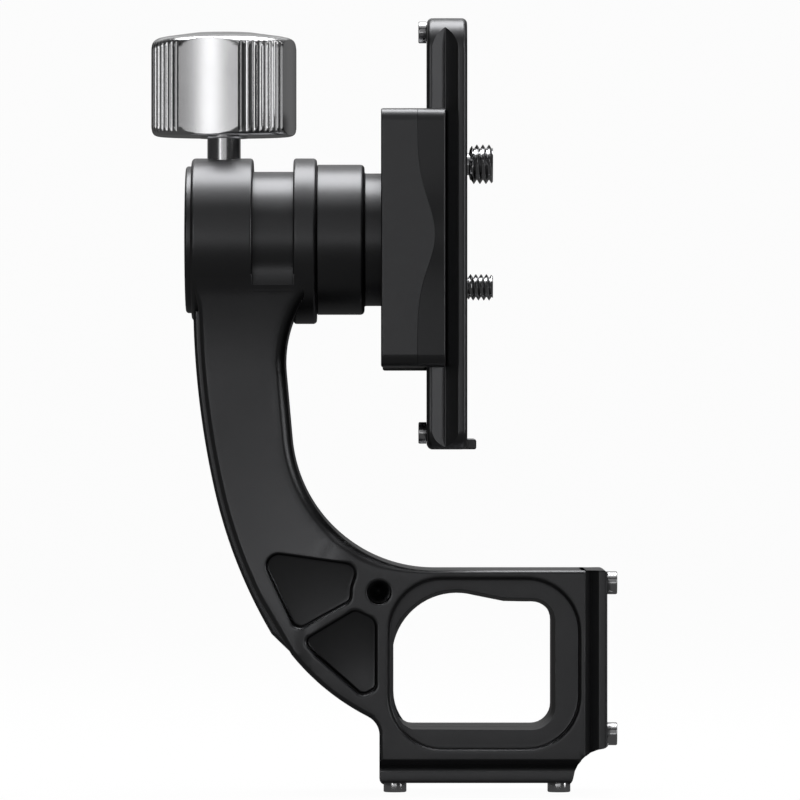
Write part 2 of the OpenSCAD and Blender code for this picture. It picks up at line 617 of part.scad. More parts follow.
module lens_plate() color("dimgray") difference() {
    union() {
        intersection() {
            translate([0, 0, plate_z0]) linear_extrude(plate_len) polygon([
                for (s = [-1, 1]) each [for (p = s < 0 ?
                    [[plate_x0, 0], [plate_x0 + plate_flange, 0], [root_x, plate_groove],
                        [root_x + plate_flank, 0], [plate_x1, 0]] :
                    [[plate_x1, 0], [root_x + plate_flank, 0], [root_x, plate_groove],
                        [plate_x0 + plate_flange, 0], [plate_x0, 0]])
                    [p[0], s * (half_w - p[1])]]]);
            along_x(plate_x0 - over, plate_x1 + over)
                polygon(rounded(box_points(-half_w, plate_z0, half_w, plate_z1), plate_corner, 8));
            along_y(-half_w - over, half_w + over)
                polygon(rounded(box_points(plate_x0, plate_z0, plate_x1, plate_z1), 1.3, 4));
        }
        translate([plate_x1 - 2, -lip_half, plate_z0]) cube([2 + lip_h, 2 * lip_half, lip_t]);
    }
    lens_slot(large_slot[0], large_slot[1], large_d / 2 + 0.2, large_head_r + 0.4);
    lens_slot(small_slot[0], small_slot[1], small_d / 2 + 0.25, small_head_r + 0.4);
    for (z = [plate_z0 + stop_in + 1, plate_z1 - stop_in])
        x_rod(stop_r + seat, plate_x0 - over, plate_x0 + stop_len + 0.3, 0, z);
}
module plate_stop_screws() color("silver") for (z = [plate_z0 + stop_in + 1, plate_z1 - stop_in])
    translate([plate_x0, 0, z]) rotate([0, -90, 0]) cap_screw(stop_r, stop_len, low_head_r, low_head_h, 1.2);

// Lens screw: head with key recess, neck through the slot, thread with chamfered tip
module lens_screw(z, r, neck, head_r, start) translate([0, 0, z - axis_h]) difference() {
    tip = plate_x1 + stud_out;
    head_x = shoulder_x - washer_t - 2 * fit;
    turned([[0, head_x - head_t], [head_r - 0.4, head_x - head_t], [head_r, head_x - head_t + 0.4],
        [head_r, head_x], [neck, head_x], [neck, start], [r, start + 0.3], [r, tip - 0.6], [r - 0.6, tip], [0, tip]]);
    x_rod(head_r * 0.42, head_x - head_t - over, head_x - head_t * 0.3, $fn = 6);
}
module lens_washer(z, r, head_r) translate([0, 0, z - axis_h])
    turned([[r + 0.15, shoulder_x - washer_t - fit], [head_r, shoulder_x - washer_t - fit],
        [head_r, shoulder_x - fit], [r + 0.15, shoulder_x - fit]]);
module lens_screw_large() color("silver") lens_screw(large_z, large_d / 2, 2.6, large_head_r, plate_x1 + 0.35);
module lens_washer_large() color("silver") lens_washer(large_z, large_d / 2, large_head_r);
module lens_screw_small() color("silver") lens_screw(small_z, small_d / 2, small_d / 2 - 0.3, small_head_r, plate_x1 - 0.25);
module lens_washer_small() color("silver") lens_washer(small_z, small_d / 2, small_head_r);

arm();
base_stop_screws();
end_cap();
bearing_outer_rings();
bearing_inner_rings();
bearing_balls();
bearing_cages();
bearing_spacer();
brake_ring();
spindle_nut();
spindle_shaft();
spindle_sleeve();
brake_shoe();
lock_stud();
knob();
clamp_body();
clamp_bolts();
jaw_guide_pins();
moving_jaw();
clamp_screw();
clamp_washer();
clamp_knob();
lens_plate();
plate_stop_screws();
lens_screw_large();
lens_washer_large();
lens_screw_small();
lens_washer_small();
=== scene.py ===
import bpy
import bmesh
import math
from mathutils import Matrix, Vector
from mathutils.geometry import delaunay_2d_cdt


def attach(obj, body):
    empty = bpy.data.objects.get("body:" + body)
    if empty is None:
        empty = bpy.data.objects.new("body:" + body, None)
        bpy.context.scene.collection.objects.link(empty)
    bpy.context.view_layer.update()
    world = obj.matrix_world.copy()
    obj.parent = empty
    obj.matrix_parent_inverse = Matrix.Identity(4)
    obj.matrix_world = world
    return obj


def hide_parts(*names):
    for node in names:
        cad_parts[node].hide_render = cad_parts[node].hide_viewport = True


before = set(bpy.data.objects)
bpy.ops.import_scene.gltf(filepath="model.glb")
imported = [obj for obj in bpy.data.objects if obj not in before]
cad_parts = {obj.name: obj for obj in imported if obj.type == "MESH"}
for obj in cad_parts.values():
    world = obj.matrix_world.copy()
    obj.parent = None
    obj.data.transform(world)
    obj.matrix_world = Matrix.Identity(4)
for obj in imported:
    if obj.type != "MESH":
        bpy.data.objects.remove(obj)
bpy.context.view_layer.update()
print("loaded the frame:", len(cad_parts), "nodes")

mm = 0.001
nearAxis = 0.001  # radius of the tiny ring that closes a turned shape at its axis


class Wire:
    def __init__(self, tree, socket):
        self.tree = tree
        self.socket = socket

    def maths(self, how, *values):
        return self.tree.add("ShaderNodeMath", {"operation": how}, dict(enumerate(values)))

    def __add__(self, other):
        return self.maths("ADD", self, other)

    def __radd__(self, other):
        return self.maths("ADD", other, self)

    def __sub__(self, other):
        return self.maths("SUBTRACT", self, other)

    def __rsub__(self, other):
        return self.maths("SUBTRACT", other, self)

    def __mul__(self, other):
        return self.maths("MULTIPLY", self, other)

    def __truediv__(self, other):
        return self.maths("DIVIDE", self, other)

    def least(self, other):
        return self.maths("MINIMUM", self, other)

    def most(self, other):
        return self.maths("MAXIMUM", self, other)

    def over(self, limit):
        return self.maths("GREATER_THAN", self, limit)

    def only(self, how):
        # maths on this value alone, such as SINE or ABSOLUTE
        return self.maths(how, self)


class Tree:
    def __init__(self, nodes):
        self.data = nodes

    def add(self, kind, settings=None, values=None, out=0):
        node = self.data.nodes.new(kind)
        for name, value in (settings or {}).items():
            setattr(node, name, value)
        self.plug(node, values or {})
        return Wire(self, node.outputs[out]) if len(node.outputs) else node

    def plug(self, node, values):
        for name, value in values.items():
            if isinstance(value, Wire):
                self.data.links.new(value.socket, node.inputs[name])
            else:
                node.inputs[name].default_value = value

    def axes(self, vector):
        parts = self.add("ShaderNodeSeparateXYZ", None, {"Vector": vector}).socket.node
        return [Wire(self, parts.outputs[i]) for i in range(3)]


# Flat shapes, in millimetres as (across, up) pairs, anticlockwise


def mixed(a, b, t):
    return a + (b - a) * t


def smooth(t):
    t = max(0, min(1, t))
    return t * t * (3 - 2 * t)


def quarter(steps):
    # angles from 0 to a right angle
    return [math.pi / 2 * k / steps for k in range(steps + 1)]


def arc(centre, radius, start, end, count):
    turns = [math.radians(start + (end - start) * i / count) for i in range(count + 1)]
    return [(centre[0] + radius * math.cos(a), centre[1] + radius * math.sin(a)) for a in turns]


def circle(centre, radius, count):
    return arc(centre, radius, 0, 360, count)[:-1]


def edgesOf(ring):
    return list(zip(ring, ring[1:] + ring[:1]))


def rounded(points, radii, steps=6):
    # a radius for each corner, or one for all; a corner with none stays sharp
    straight = 1.565  # half the angle at a corner that is all but straight
    result = []
    for k, point in enumerate(points):
        p, a, b = Vector(point), Vector(points[k - 1]), Vector(points[(k + 1) % len(points)])
        radius = radii[k] if isinstance(radii, (list, tuple)) else radii
        u, v = (a - p).normalized(), (b - p).normalized()
        half = math.acos(max(-1, min(1, u.dot(v)))) / 2
        if radius <= 0 or half > straight:
            result += [tuple(p)] * (steps + 1 if radius > 0 else 1)
            continue
        centre = p + (u + v).normalized() * radius / math.sin(half)
        s = p + u * radius / math.tan(half) - centre
        e = p + v * radius / math.tan(half) - centre
        first, turn = math.atan2(s.y, s.x), math.atan2(e.y, e.x) - math.atan2(s.y, s.x)
        turn -= 2 * math.pi * round(turn / (2 * math.pi))
        result += [(centre.x + radius * math.cos(first + turn * i / steps),
                    centre.y + radius * math.sin(first + turn * i / steps)) for i in range(steps + 1)]
    return result


def inset(points, amounts, closed=True):
    # moves a line inwards; amounts holds one distance for each stretch between two points
    gentle = 0.93  # cosine of the bend; above it the two distances at a corner are averaged
    count = len(points)
    if not isinstance(amounts, (list, tuple)):
        amounts = [amounts] * count
    sides = []
    for i in range(count):
        d = Vector(points[(i + 1) % count]) - Vector(points[i])
        sides.append(Vector((-d.y, d.x)).normalized() if d.length > 1e-9 else None)
    for i in range(count):
        if sides[i] is None:
            before = (sides[(i - k) % count] for k in range(1, count))
            sides[i] = next((side for side in before if side), Vector((0, 1)))
    moved = []
    for i, p in enumerate(points):
        n2, d2 = sides[i], amounts[i]
        n1, d1 = sides[i - 1], amounts[i - 1]
        if not closed and i == 0:
            n1, d1 = n2, d2
        if not closed and i == count - 1:
            n2, d2 = n1, d1
        c = n1.dot(n2)
        if c > gentle:
            step = (n1 + n2).normalized() * (d1 + d2) / 2 / math.sqrt((1 + c) / 2)
        else:
            step = (n1 * (d1 - d2 * c) + n2 * (d2 - d1 * c)) / max(1 - c * c, 0.02)
        moved.append((p[0] + step.x, p[1] + step.y))
    return moved


def insideOf(p, ring):
    hit = False
    for (x0, y0), (x1, y1) in edgesOf(ring):
        if (y0 > p[1]) != (y1 > p[1]) and p[0] < (x1 - x0) * (p[1] - y0) / (y1 - y0) + x0:
            hit = not hit
    return hit


def gapTo(p, start, end):
    # distance from a point to the stretch between two others
    dx, dy = end[0] - start[0], end[1] - start[1]
    along = (p[0] - start[0]) * dx + (p[1] - start[1]) * dy
    t = max(0, min(1, along / max(dx * dx + dy * dy, 1e-12)))
    return math.hypot(p[0] - start[0] - t * dx, p[1] - start[1] - t * dy)


def farFrom(p, ring, gap):
    return all(gapTo(p, a, b) >= gap for a, b in edgesOf(ring))


def finer(ring, model, step=1.3):
    # the ring with extra points, as many per edge as the model ring needs to keep under the step
    out = []
    for (a, b), (c, d) in zip(edgesOf(ring), edgesOf(model)):
        count = max(1, math.ceil(math.dist(c, d) / step))
        out += [(a[0] + (b[0] - a[0]) * k / count, a[1] + (b[1] - a[1]) * k / count) for k in range(count)]
    return out


def unfolded(faces, at):
    # a triangle with its corners in one line goes, and its neighbour is split at the middle corner
    thinnest = 2e-3
    passes = 6

    def thin(face):
        a, b, c = [at[i] for i in face]
        return abs((b.x - a.x) * (c.y - a.y) - (c.x - a.x) * (b.y - a.y)) < thinnest

    faces = set(faces)
    for turn in range(passes):
        for face in [f for f in faces if thin(f)]:
            a, c, b = max(((face[i], face[(i + 1) % 3], face[(i + 2) % 3]) for i in range(3)),
                          key=lambda e: (at[e[0]] - at[e[1]]).length)
            other = next((f for f in faces if f != face and a in f and c in f and not thin(f)), None)
            if other:
                far = next(i for i in other if i not in (a, c))
                faces -= {face, other}
                faces |= {(a, b, far), (b, c, far)}
    return [f for f in faces if not thin(f)]


# Meshes


def faceOutwards(mesh, weld=0):
    # joins points that lie closer than the weld and turns every face outwards
    work = bmesh.new()
    work.from_mesh(mesh)
    if weld:
        bmesh.ops.remove_doubles(work, verts=work.verts, dist=weld)
        bmesh.ops.dissolve_degenerate(work, edges=work.edges, dist=1e-7)
    bmesh.ops.recalc_face_normals(work, faces=work.faces)
    work.to_mesh(mesh)
    work.free()


class Skin:
    # a surface put together from rings of points, in millimetres
    def __init__(self):
        self.points = []
        self.faces = []

    def ring(self, points):
        first = len(self.points)
        self.points += [tuple(p) for p in points]
        return list(range(first, len(self.points)))

    def strip(self, a, b, closed=True):
        count = len(a)
        for i in range(count if closed else count - 1):
            j = (i + 1) % count
            self.faces.append((a[i], a[j], b[j], b[i]))

    def strips(self, rows, closed=True):
        for a, b in zip(rows, rows[1:]):
            self.strip(a, b, closed)

    def stack(self, rings, closed=True, ends=True):
        rows = [self.ring(r) for r in rings]
        self.strips(rows, closed)
        if ends:
            self.faces += [tuple(rows[0]), tuple(rows[-1])]
        return rows

    def flat(self, ring, across, up):
        # (flat point, index) pairs of a ring, seen along the third axis
        return [((self.points[i][across], self.points[i][up]), i) for i in ring]

    def fill(self, outline, holes, place, grid=None):
        # outline and holes are lists of (flat point, index); place turns a grid point into space
        flat = [p for ring in [outline] + holes for p, index in ring]
        known = [index for ring in [outline] + holes for p, index in ring]
        edges = []
        for ring in [outline] + holes:
            first = len(edges)
            edges += [(first + i, first + (i + 1) % len(ring)) for i in range(len(ring))]
        rings = [[p for p, index in ring] for ring in [outline] + holes]

        def filled(p):
            return insideOf(p, rings[0]) and not any(insideOf(p, r) for r in rings[1:])

        if grid:
            xs, ys = [p[0] for p in rings[0]], [p[1] for p in rings[0]]
            for row in range(int((max(ys) - min(ys)) / grid) + 1):
                for column in range(int((max(xs) - min(xs)) / grid) + 2):
                    p = (min(xs) + (column - 0.5 * (row % 2)) * grid, min(ys) + (row + 0.5) * grid)
                    if filled(p) and all(farFrom(p, r, grid * 0.6) for r in rings):
                        flat.append(p)
                        known.append(None)
        out = delaunay_2d_cdt([Vector(p) for p in flat], edges, [], 0, 1e-5)
        index = []
        for p, origins in zip(out[0], out[3]):
            own = next((known[o] for o in origins if known[o] is not None), None)
            if own is None:
                self.points.append(place(p.x, p.y))
                own = len(self.points) - 1
            index.append(own)
        kept = [tuple(face) for face in out[2]
                if filled(sum((out[0][i] for i in face), Vector((0, 0))) / len(face))]
        self.faces += [tuple(index[i] for i in face) for face in unfolded(kept, out[0])]

    def add(self, other, mirrored=False):
        first = len(self.points)
        self.points += [(x, -y, z) for x, y, z in other.points] if mirrored else other.points
        self.faces += [tuple(first + i for i in face) for face in other.faces]

    def mesh(self, name):
        mesh = bpy.data.meshes.new(name)
        mesh.from_pydata([[v * mm for v in p] for p in self.points], [], self.faces)
        return mesh

    def make(self, name, body, node, slot, sharp=34):
        mesh = self.mesh(name)
        faceOutwards(mesh, weld=2e-6)
        return piece(name, mesh, body, node, slot, sharp)


def piece(name, mesh, body, node, slot, sharp):
    # the finished mesh as an object that takes a node's place; the slot is also the finish's name
    mesh.shade_smooth()
    mesh.set_sharp_from_angle(angle=math.radians(sharp))
    mesh.materials.clear()
    mesh.materials.append(finishes[slot])
    thing = bpy.data.objects.new(name, mesh)
    bpy.context.scene.collection.objects.link(thing)
    modifier = thing.modifiers.new("weighted normals", "WEIGHTED_NORMAL")
    modifier.keep_sharp = True
    modifier.weight = 60
    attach(thing, body)
    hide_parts(node)
    return thing


def turned(profile, centre, count=128, radiusAt=None):
    # profile holds (radius, along); the axis runs along X through centre, which is (y, z)
    rings = []
    for radius, along in profile:
        ring = []
        for i in range(count):
            a = 2 * math.pi * i / count
            r = radiusAt(radius, along, a) if radiusAt else radius
            u, v = centre[0] + r * math.cos(a), centre[1] + r * math.sin(a)
            ring.append((along, u, v))
        rings.append(ring)
    skin = Skin()
    closedLoop = profile[0] == profile[-1]
    skin.stack(rings, True, not closedLoop)
    return skin


def sixSided(radius, angle):
    # a circle's radius taken out to the hexagon around it
    return radius / math.cos((angle % (math.pi / 3)) - math.pi / 6)


# Geometry node trees


def startTree(name, inputs):
    # a node tree with the named inputs and one geometry output
    group = bpy.data.node_groups.new(name, "GeometryNodeTree")
    sockets = {}
    for label, kind in inputs.items():
        socket = group.interface.new_socket(label, in_out="INPUT", socket_type="NodeSocket" + kind)
        sockets[label] = socket.identifier
    group.interface.new_socket("Geometry", in_out="OUTPUT", socket_type="NodeSocketGeometry")
    tree = Tree(group)
    source = group.nodes.new("NodeGroupInput")
    given = {label: Wire(tree, source.outputs[label]) for label in inputs}
    return tree, sockets, given


def endTree(tree, shape, finish):
    real = tree.add("GeometryNodeRealizeInstances", None, {"Geometry": shape})
    done = tree.add("GeometryNodeSetMaterial", None, {"Geometry": real, "Material": finish})
    tree.add("NodeGroupOutput", None, {0: done})


def treeMesh(source, tree, sockets, values, name):
    # runs a node tree on a mesh and keeps only the result
    blank = bpy.data.objects.new("blank", source)
    bpy.context.scene.collection.objects.link(blank)
    modifier = blank.modifiers.new("shape", "NODES")
    modifier.node_group = tree.data
    for label, value in values.items():
        modifier[sockets[label]] = value
    bpy.context.view_layer.update()
    state = bpy.context.evaluated_depsgraph_get()
    shown = blank.evaluated_get(state)
    mesh = bpy.data.meshes.new_from_object(shown, preserve_all_data_layers=False, depsgraph=state)
    mesh.name = name
    blank.modifiers.remove(modifier)
    bpy.data.objects.remove(blank)
    faceOutwards(mesh)
    return mesh


# Finishes


def startFinish(name):
    finish = bpy.data.materials.new(name)
    finish.use_nodes = True
    shader = next(n for n in finish.node_tree.nodes if n.type == "BSDF_PRINCIPLED")
    return finish, Tree(finish.node_tree), shader


def grain(tree, scale, detail):
    where = tree.add("ShaderNodeTexCoord", out="Object")
    values = {"Vector": where, "Scale": scale, "Detail": detail}
    return tree.add("ShaderNodeTexNoise", None, values, out="Fac")


def tint(tree, amount, look):
    return tree.add("ShaderNodeMix", {"data_type": "RGBA"},
                    {"Factor": amount, "A": (*look["dark"], 1), "B": (*look["light"], 1)}, out="Result")


def bump(tree, strength, depth, height):
    return tree.add("ShaderNodeBump", None, {"Strength": strength, "Distance": depth * mm, "Height": height})


anodisedLook = {"dark": (0.105, 0.106, 0.110), "light": (0.125, 0.126, 0.130), "roughness": 0.36,
                "roughSpread": 0.04, "cloudScale": 90, "grainScale": 9000, "grainDepth": 0.012,
                "grainBump": 0.25}


def blackAnodised(name, look):
    # dark metal with the fine tooth of an etched and dyed surface
    finish, tree, shader = startFinish(name)
    cloud = grain(tree, look["cloudScale"], 4)
    fine = grain(tree, look["grainScale"], 1)
    tree.plug(shader, {
        "Base Color": tint(tree, cloud, look),
        "Metallic": 1.0,
        "Roughness": look["roughness"] + (cloud - 0.5) * look["roughSpread"],
        "Normal": bump(tree, look["grainBump"], look["grainDepth"], fine)})
    return finish


def turnedMetal(name, look):
    # fine rings from the lathe along the given axis, over a light cloud of polish
    finish, tree, shader = startFinish(name)
    cloud = grain(tree, look["cloudScale"], 3)
    where = tree.add("ShaderNodeTexCoord", out="Object")
    along = tree.axes(where)["XYZ".index(look["axis"])]
    lines = tree.add("ShaderNodeTexNoise", {"noise_dimensions": "1D"},
                     {"W": along, "Scale": look["lineScale"], "Detail": 2}, out="Fac")
    rough = look["roughness"] + (cloud - 0.5) * look["cloudRough"] + (lines - 0.5) * look["lineRough"]
    tree.plug(shader, {
        "Base Color": tint(tree, cloud, look),
        "Metallic": 1.0,
        "Roughness": rough,
        "Normal": bump(tree, look["lineBump"], look["lineDepth"], lines)})
    return finish


latheLook = {"cloudScale": 140, "cloudRough": 0.06, "lineDepth": 0.004}
stainlessLook = {**latheLook, "dark": (0.62, 0.62, 0.63), "light": (0.70, 0.70, 0.71), "roughness": 0.15,
                 "axis": "X", "lineScale": 9000, "lineRough": 0.10, "lineBump": 0.15}
knobLook = {**latheLook, "dark": (0.66, 0.66, 0.67), "light": (0.74, 0.74, 0.75), "roughness": 0.2,
            "axis": "Z", "lineScale": 7000, "lineRough": 0.06, "lineBump": 0.08}
bearingLook = {**latheLook, "dark": (0.56, 0.56, 0.58), "light": (0.66, 0.66, 0.68), "roughness": 0.14,
               "axis": "X", "lineScale": 12000, "lineRough": 0.05, "lineBump": 0.08}
brassLook = {**latheLook, "dark": (0.62, 0.40, 0.14), "light": (0.74, 0.50, 0.20), "roughness": 0.32,
             "axis": "X", "lineScale": 5000, "lineRough": 0.15, "lineBump": 0.2}
shoeLook = {"dark": (0.70, 0.66, 0.56), "light": (0.80, 0.76, 0.66), "roughness": 0.5, "roughSpread": 0.2,
            "cloudScale": 400, "grainBump": 0.3, "grainDepth": 0.02}


def shoePolymer(name, look):
    finish, tree, shader = startFinish(name)
    cloud = grain(tree, look["cloudScale"], 5)
    tree.plug(shader, {
        "Base Color": tint(tree, cloud, look),
        "Roughness": look["roughness"] + (cloud - 0.5) * look["roughSpread"],
        "Normal": bump(tree, look["grainBump"], look["grainDepth"], cloud)})
    return finish


makers = {
    "black_anodised": (blackAnodised, anodisedLook),
    "stainless": (turnedMetal, stainlessLook),
    "knob_steel": (turnedMetal, knobLook),
    "bearing_steel": (turnedMetal, bearingLook),
    "cage_brass": (turnedMetal, brassLook),
    "shoe_polymer": (shoePolymer, shoeLook),
}
finishes = {name: maker(name, look) for name, (maker, look) in makers.items()}
print("finishes ready")


# Arm: collar, flange and groove at the hub, C-shaped limb, block with two dovetails

hub = {
    "axis": 129.4, "radius": 19.5, "start": -68.0, "end": -38.0, "boreRadius": 13.02,
    "grooveStart": -53.2, "grooveEnd": -43.6, "grooveRadius": 16.3, "grooveLow": -18,
    "runOutRadius": 8.3, "runOutTurn": 28,
    "collarEdges": (1.0, 0.8), "flangeEdges": (0.7, 0.9), "flangeBulge": 0.7,
}
limb = {
    # half thickness: waist under the hub, hollow above it, ramp and step down to the block
    "waist": 14.2, "waistUp": 96.1, "hollowRadius": 130,
    "rampCentre": (-4, 35), "rampReach": 74, "rampFall": 372,
    "stepReach": 40, "stepWidth": 8.5, "bayEdge": -25.5, "bayWidth": 2.5, "bayTop": 58,
    "hubGap": 0.03, "blend": 1.2, "blendRise": 0.3, "blendTop": 120.5,
    # outline, from the inner curve under the hub round the back to the toe
    "top": 121, "flangeFoot": 118.0, "grooveFoot": 118.4, "hubWall": 13.1,
    "openCentre": (-9.95, 84.65), "openRadius": 34.15, "flareCentre": (-17.4, 100), "flareRadius": 28.1,
    "backCentre": (141.8, 115.4), "backRadius": 209.3, "flareFrom": 110, "backLimit": -67.85,
    "heelCentre": (53.7, 95.6), "heelRadius": 119, "heelTop": 69.5, "heelLow": 43.5,
    "bellyCentre": (0.25, 66.6), "bellyRadius": 57.1, "toeCentre": (-27.8, 11.4), "toeRadius": 4.8,
    "backEdge": 1.2, "openEdge": 2.4, "toeEdge": 1.0,
    "spineHalf": 9, "spineStep": 1.5, "spineTop": 116.2, "spineLow": 35.2,
    "spineTip": (-48.66, 35.0), "spineWide": 5.5,
}
block = {
    "half": 19, "left": -23, "low": 5.3, "right": 26.1, "high": 50.5, "topLeft": 8, "sideFace": 31.15,
    "scoopRadius": 8.2, "scoopTop": 28, "edge": 0.5, "topEdge": 0.9, "barCorner": 1.1,
    "windowDepth": 5, "windowCorner": 12.6, "windowEdge": 0.6, "windowCove": 0.5, "lip": 0.95, "lipRoom": 1.2,
    "pocketDepth": 10.5, "pocketEdge": 0.5, "pocketCove": 0.6, "pocketGrow": 0.3,
    "socketPlace": (-23.1, 45.3), "socketRadius": 2.75, "socketDepth": 8.5, "socketTip": 1.6, "grid": 1.35,
}
# a negative radius marks a corner that points into the pocket
# dish holds the floor's lowest point and how fast the floor rises around it
pockets = [
    {"corners": [(-52.4, 55.4), (-43.1, 35.6), (-29.5, 43.0), (-29.45, 46.3), (-27.4, 52.05)],
     "radii": [3.2, 2.6, 2.6, -5, 2.9], "dish": (-33, 40, 0.006)},
    {"corners": [(-41.6, 33.9), (-38.2, 29.9), (-27.1, 20.1), (-23.5, 22.2), (-23.5, 39), (-28.9, 41.5)],
     "radii": [1.9, 3, 2.6, 2.2, 3.2, 2.6], "dish": (-25, 26, 0.0075)},
]


def armHalf(x, z):
    # half thickness of the limb: hollow towards the hub, rising in a ramp to the block
    upper = limb["waist"]
    if z > limb["waistUp"]:
        hollow = limb["hollowRadius"]
        upper = limb["waist"] + hollow - math.sqrt(hollow ** 2 - (z - limb["waistUp"]) ** 2)
    lift = hub["radius"] ** 2 - (z - hub["axis"]) ** 2
    inGroove = hub["grooveStart"] < x < hub["grooveEnd"]
    drum = math.sqrt(lift) - limb["hubGap"] if lift > 0 and not inGroove else 0
    blend = max(limb["blend"] - abs(upper - drum), 0) / limb["blend"]
    upper = max(upper, drum)
    if z <= limb["blendTop"]:
        upper += blend * blend * limb["blendRise"]
    reach = math.hypot(min(x - limb["rampCentre"][0], 0), z - limb["rampCentre"][1])
    gentle = limb["waist"] + max(0, limb["rampReach"] - reach) ** 2 / limb["rampFall"]
    lower = mixed(gentle, block["half"], smooth((limb["stepReach"] - reach) / limb["stepWidth"]))
    if z < limb["bayTop"]:
        lower = mixed(lower, block["half"], smooth((x - limb["bayEdge"]) / limb["bayWidth"]))
    return min(max(upper, lower), block["half"])


def backPath(step, top, low):
    # down the back from one height to another, the step inside the spine's outer curve
    def across(centre, radius, z):
        return centre[0] - math.sqrt(radius ** 2 - (z - centre[1]) ** 2)

    path = []
    for i in range(37):
        z = mixed(top, limb["heelTop"], i / 36)
        flare = 2 * ((z - limb["flareFrom"]) / 10) ** 2 if step and z > limb["flareFrom"] else 0
        x = across(limb["backCentre"], limb["backRadius"] - step, z) - flare
        path.append((max(x, limb["backLimit"]), z))
    for i in range(1, 21):
        z = mixed(limb["heelTop"], low, i / 20)
        path.append((across(limb["heelCentre"], limb["heelRadius"] - step, z), z))
    return path


belly = arc(limb["bellyCentre"], limb["bellyRadius"], 219.35, 243.08, 18)
toe = arc(limb["toeCentre"], limb["toeRadius"], 62.9, 0, 8)


def limbOutline():
    line = []  # (x, z, edge radius up to the next point, depth where its wall ends)

    def add(points, radius, end=0):
        for p in points:
            line.append((p[0], p[1], radius, end))

    add([(block["left"], block["low"]), (0, block["low"])], block["edge"])
    add(arc((block["sideFace"], 0), block["scoopRadius"], 139.7, 128.0, 3), block["edge"])
    add([(block["right"], block["scoopTop"])], block["edge"])
    add([(block["right"], block["high"]), (block["topLeft"], block["high"])], block["topEdge"])
    for k, p in enumerate(arc(limb["openCentre"], limb["openRadius"], 270, 185, 40)):
        add([p], mixed(block["topEdge"], limb["openEdge"], smooth(k / 14)))
    add(arc(limb["flareCentre"], limb["flareRadius"], 185, 142.2, 20), limb["openEdge"])
    top, wall, outer = limb["top"], limb["hubWall"], hub["end"] - 0.3
    add([(outer, limb["flangeFoot"]), (outer, top), (hub["grooveEnd"], top)], 0.35, wall)
    add([(hub["grooveEnd"], limb["grooveFoot"])], 0.04, wall)
    add([(hub["grooveStart"], limb["grooveFoot"]), (hub["grooveStart"], top)], 0.35, wall)
    back = backPath(limb["spineStep"], top, limb["heelLow"])
    add([p for p in back if p[1] > limb["spineTop"]], 0.8, wall)
    add([p for p in back if p[1] <= limb["spineTop"]], limb["backEdge"])
    add(belly, limb["backEdge"])
    add(toe, limb["toeEdge"])
    return line


windowOutline = rounded([(-20.7, 8.1), (24.5, 8.1), (24.5, 48.5), (-20.7, 48.5)], block["windowCorner"], 12)
holeCorners = rounded([(-20, 13.2), (18.05, 13.2), (18.05, 42.95), (-20, 42.95)], [4.8, 4.8, 4.8, 0], 8)
holeWave = [(11, 42.95), (6.5, 43.05), (3, 43.75)]
holeSweep = arc((-4.6, 29.6), 15.4, 180, 75, 20)
throughOutline = holeCorners[:27] + holeWave + list(reversed(holeSweep))


def pocketRing(pocket, depth):
    # the pocket's outline moved inwards
    corners, radii = pocket["corners"], pocket["radii"]
    ring = rounded(inset(corners, depth), [max(r - depth, 0.15) if r > 0 else depth - r for r in radii], 8)
    return finer(ring, rounded(corners, [abs(r) for r in radii], 8))


def windowRing(depth):
    return finer(inset(windowOutline, depth), windowOutline)


def socketRing(depth):
    return circle(block["socketPlace"], block["socketRadius"] - depth, 40)


def sinkWall(skin, shape, edge, cove, rise):
    # a rounded rim, a wall and a hollow corner down to the floor; gives the rim and the rows below it
    rim = [skin.ring([(x, -armHalf(x, z), z) for x, z in shape(-edge - 0.5)])]
    for turn in quarter(4):
        moved = shape(-edge * (1 - math.sin(turn) ** 1.7))
        rim.append(skin.ring([(x, -armHalf(x, z) + edge * (1 - math.cos(turn) ** 1.7), z) for x, z in moved]))
    skin.strips(rim)
    low = rim[-1:]
    for turn in quarter(5):
        moved = shape(cove * (1 - math.cos(turn)))
        low.append(skin.ring([(x, rise(x, z) - cove * (1 - math.sin(turn)), z) for x, z in moved]))
    return rim[0], low


def sinkFloor(skin, shape, edge, cove, rise, holes, grid):
    # a recess with a floor, which has a hole where one is given; gives the rim
    rim, low = sinkWall(skin, shape, edge, cove, rise)
    low.append(skin.ring([(x, rise(x, z), z) for x, z in shape(cove + 0.5)]))
    skin.strips(low)
    skin.fill(skin.flat(low[-1], 0, 2), holes, lambda x, z: (x, rise(x, z), z), grid)
    return rim


def holeLip(skin, floor):
    # the window's through hole down to the middle plane, its lip narrower where the window's wall is near
    room = [min(gapTo(p, a, b) for a, b in edgesOf(windowOutline)) for p in throughOutline]
    room = [max(min(a, b) - block["lipRoom"], 0) for a, b in edgesOf(room)]
    lip = block["lip"]
    rows = []
    for grow, deep in ((lip, 0), (lip - 0.12, 0.06), (lip - 0.2, 0.25), (0.2, 2.6), (0, 3.2)):
        moved = inset(throughOutline, [-min(grow, r) for r in room])
        rows.append(skin.ring([(x, floor + deep, z) for x, z in moved]))
    rows.append(skin.ring([(x, 0, z) for x, z in throughOutline]))
    skin.strips(rows)
    return skin.flat(rows[0], 0, 2)


def sinkWindow(skin):
    floor = block["windowDepth"] - block["half"]
    hole = holeLip(skin, floor)
    edge, cove = block["windowEdge"], block["windowCove"]
    return sinkFloor(skin, windowRing, edge, cove, lambda x, z: floor, [hole], None)


def sinkPocket(skin, pocket):
    floor = block["pocketDepth"] - block["half"]
    x0, z0, fall = pocket["dish"]
    edge, cove = block["pocketEdge"], block["pocketCove"]

    def shape(depth):
        return pocketRing(pocket, depth + block["pocketGrow"])

    def dished(x, z):
        return floor - fall * ((x - x0) ** 2 + (z - z0) ** 2)

    return sinkFloor(skin, shape, edge, cove, dished, [], block["grid"])


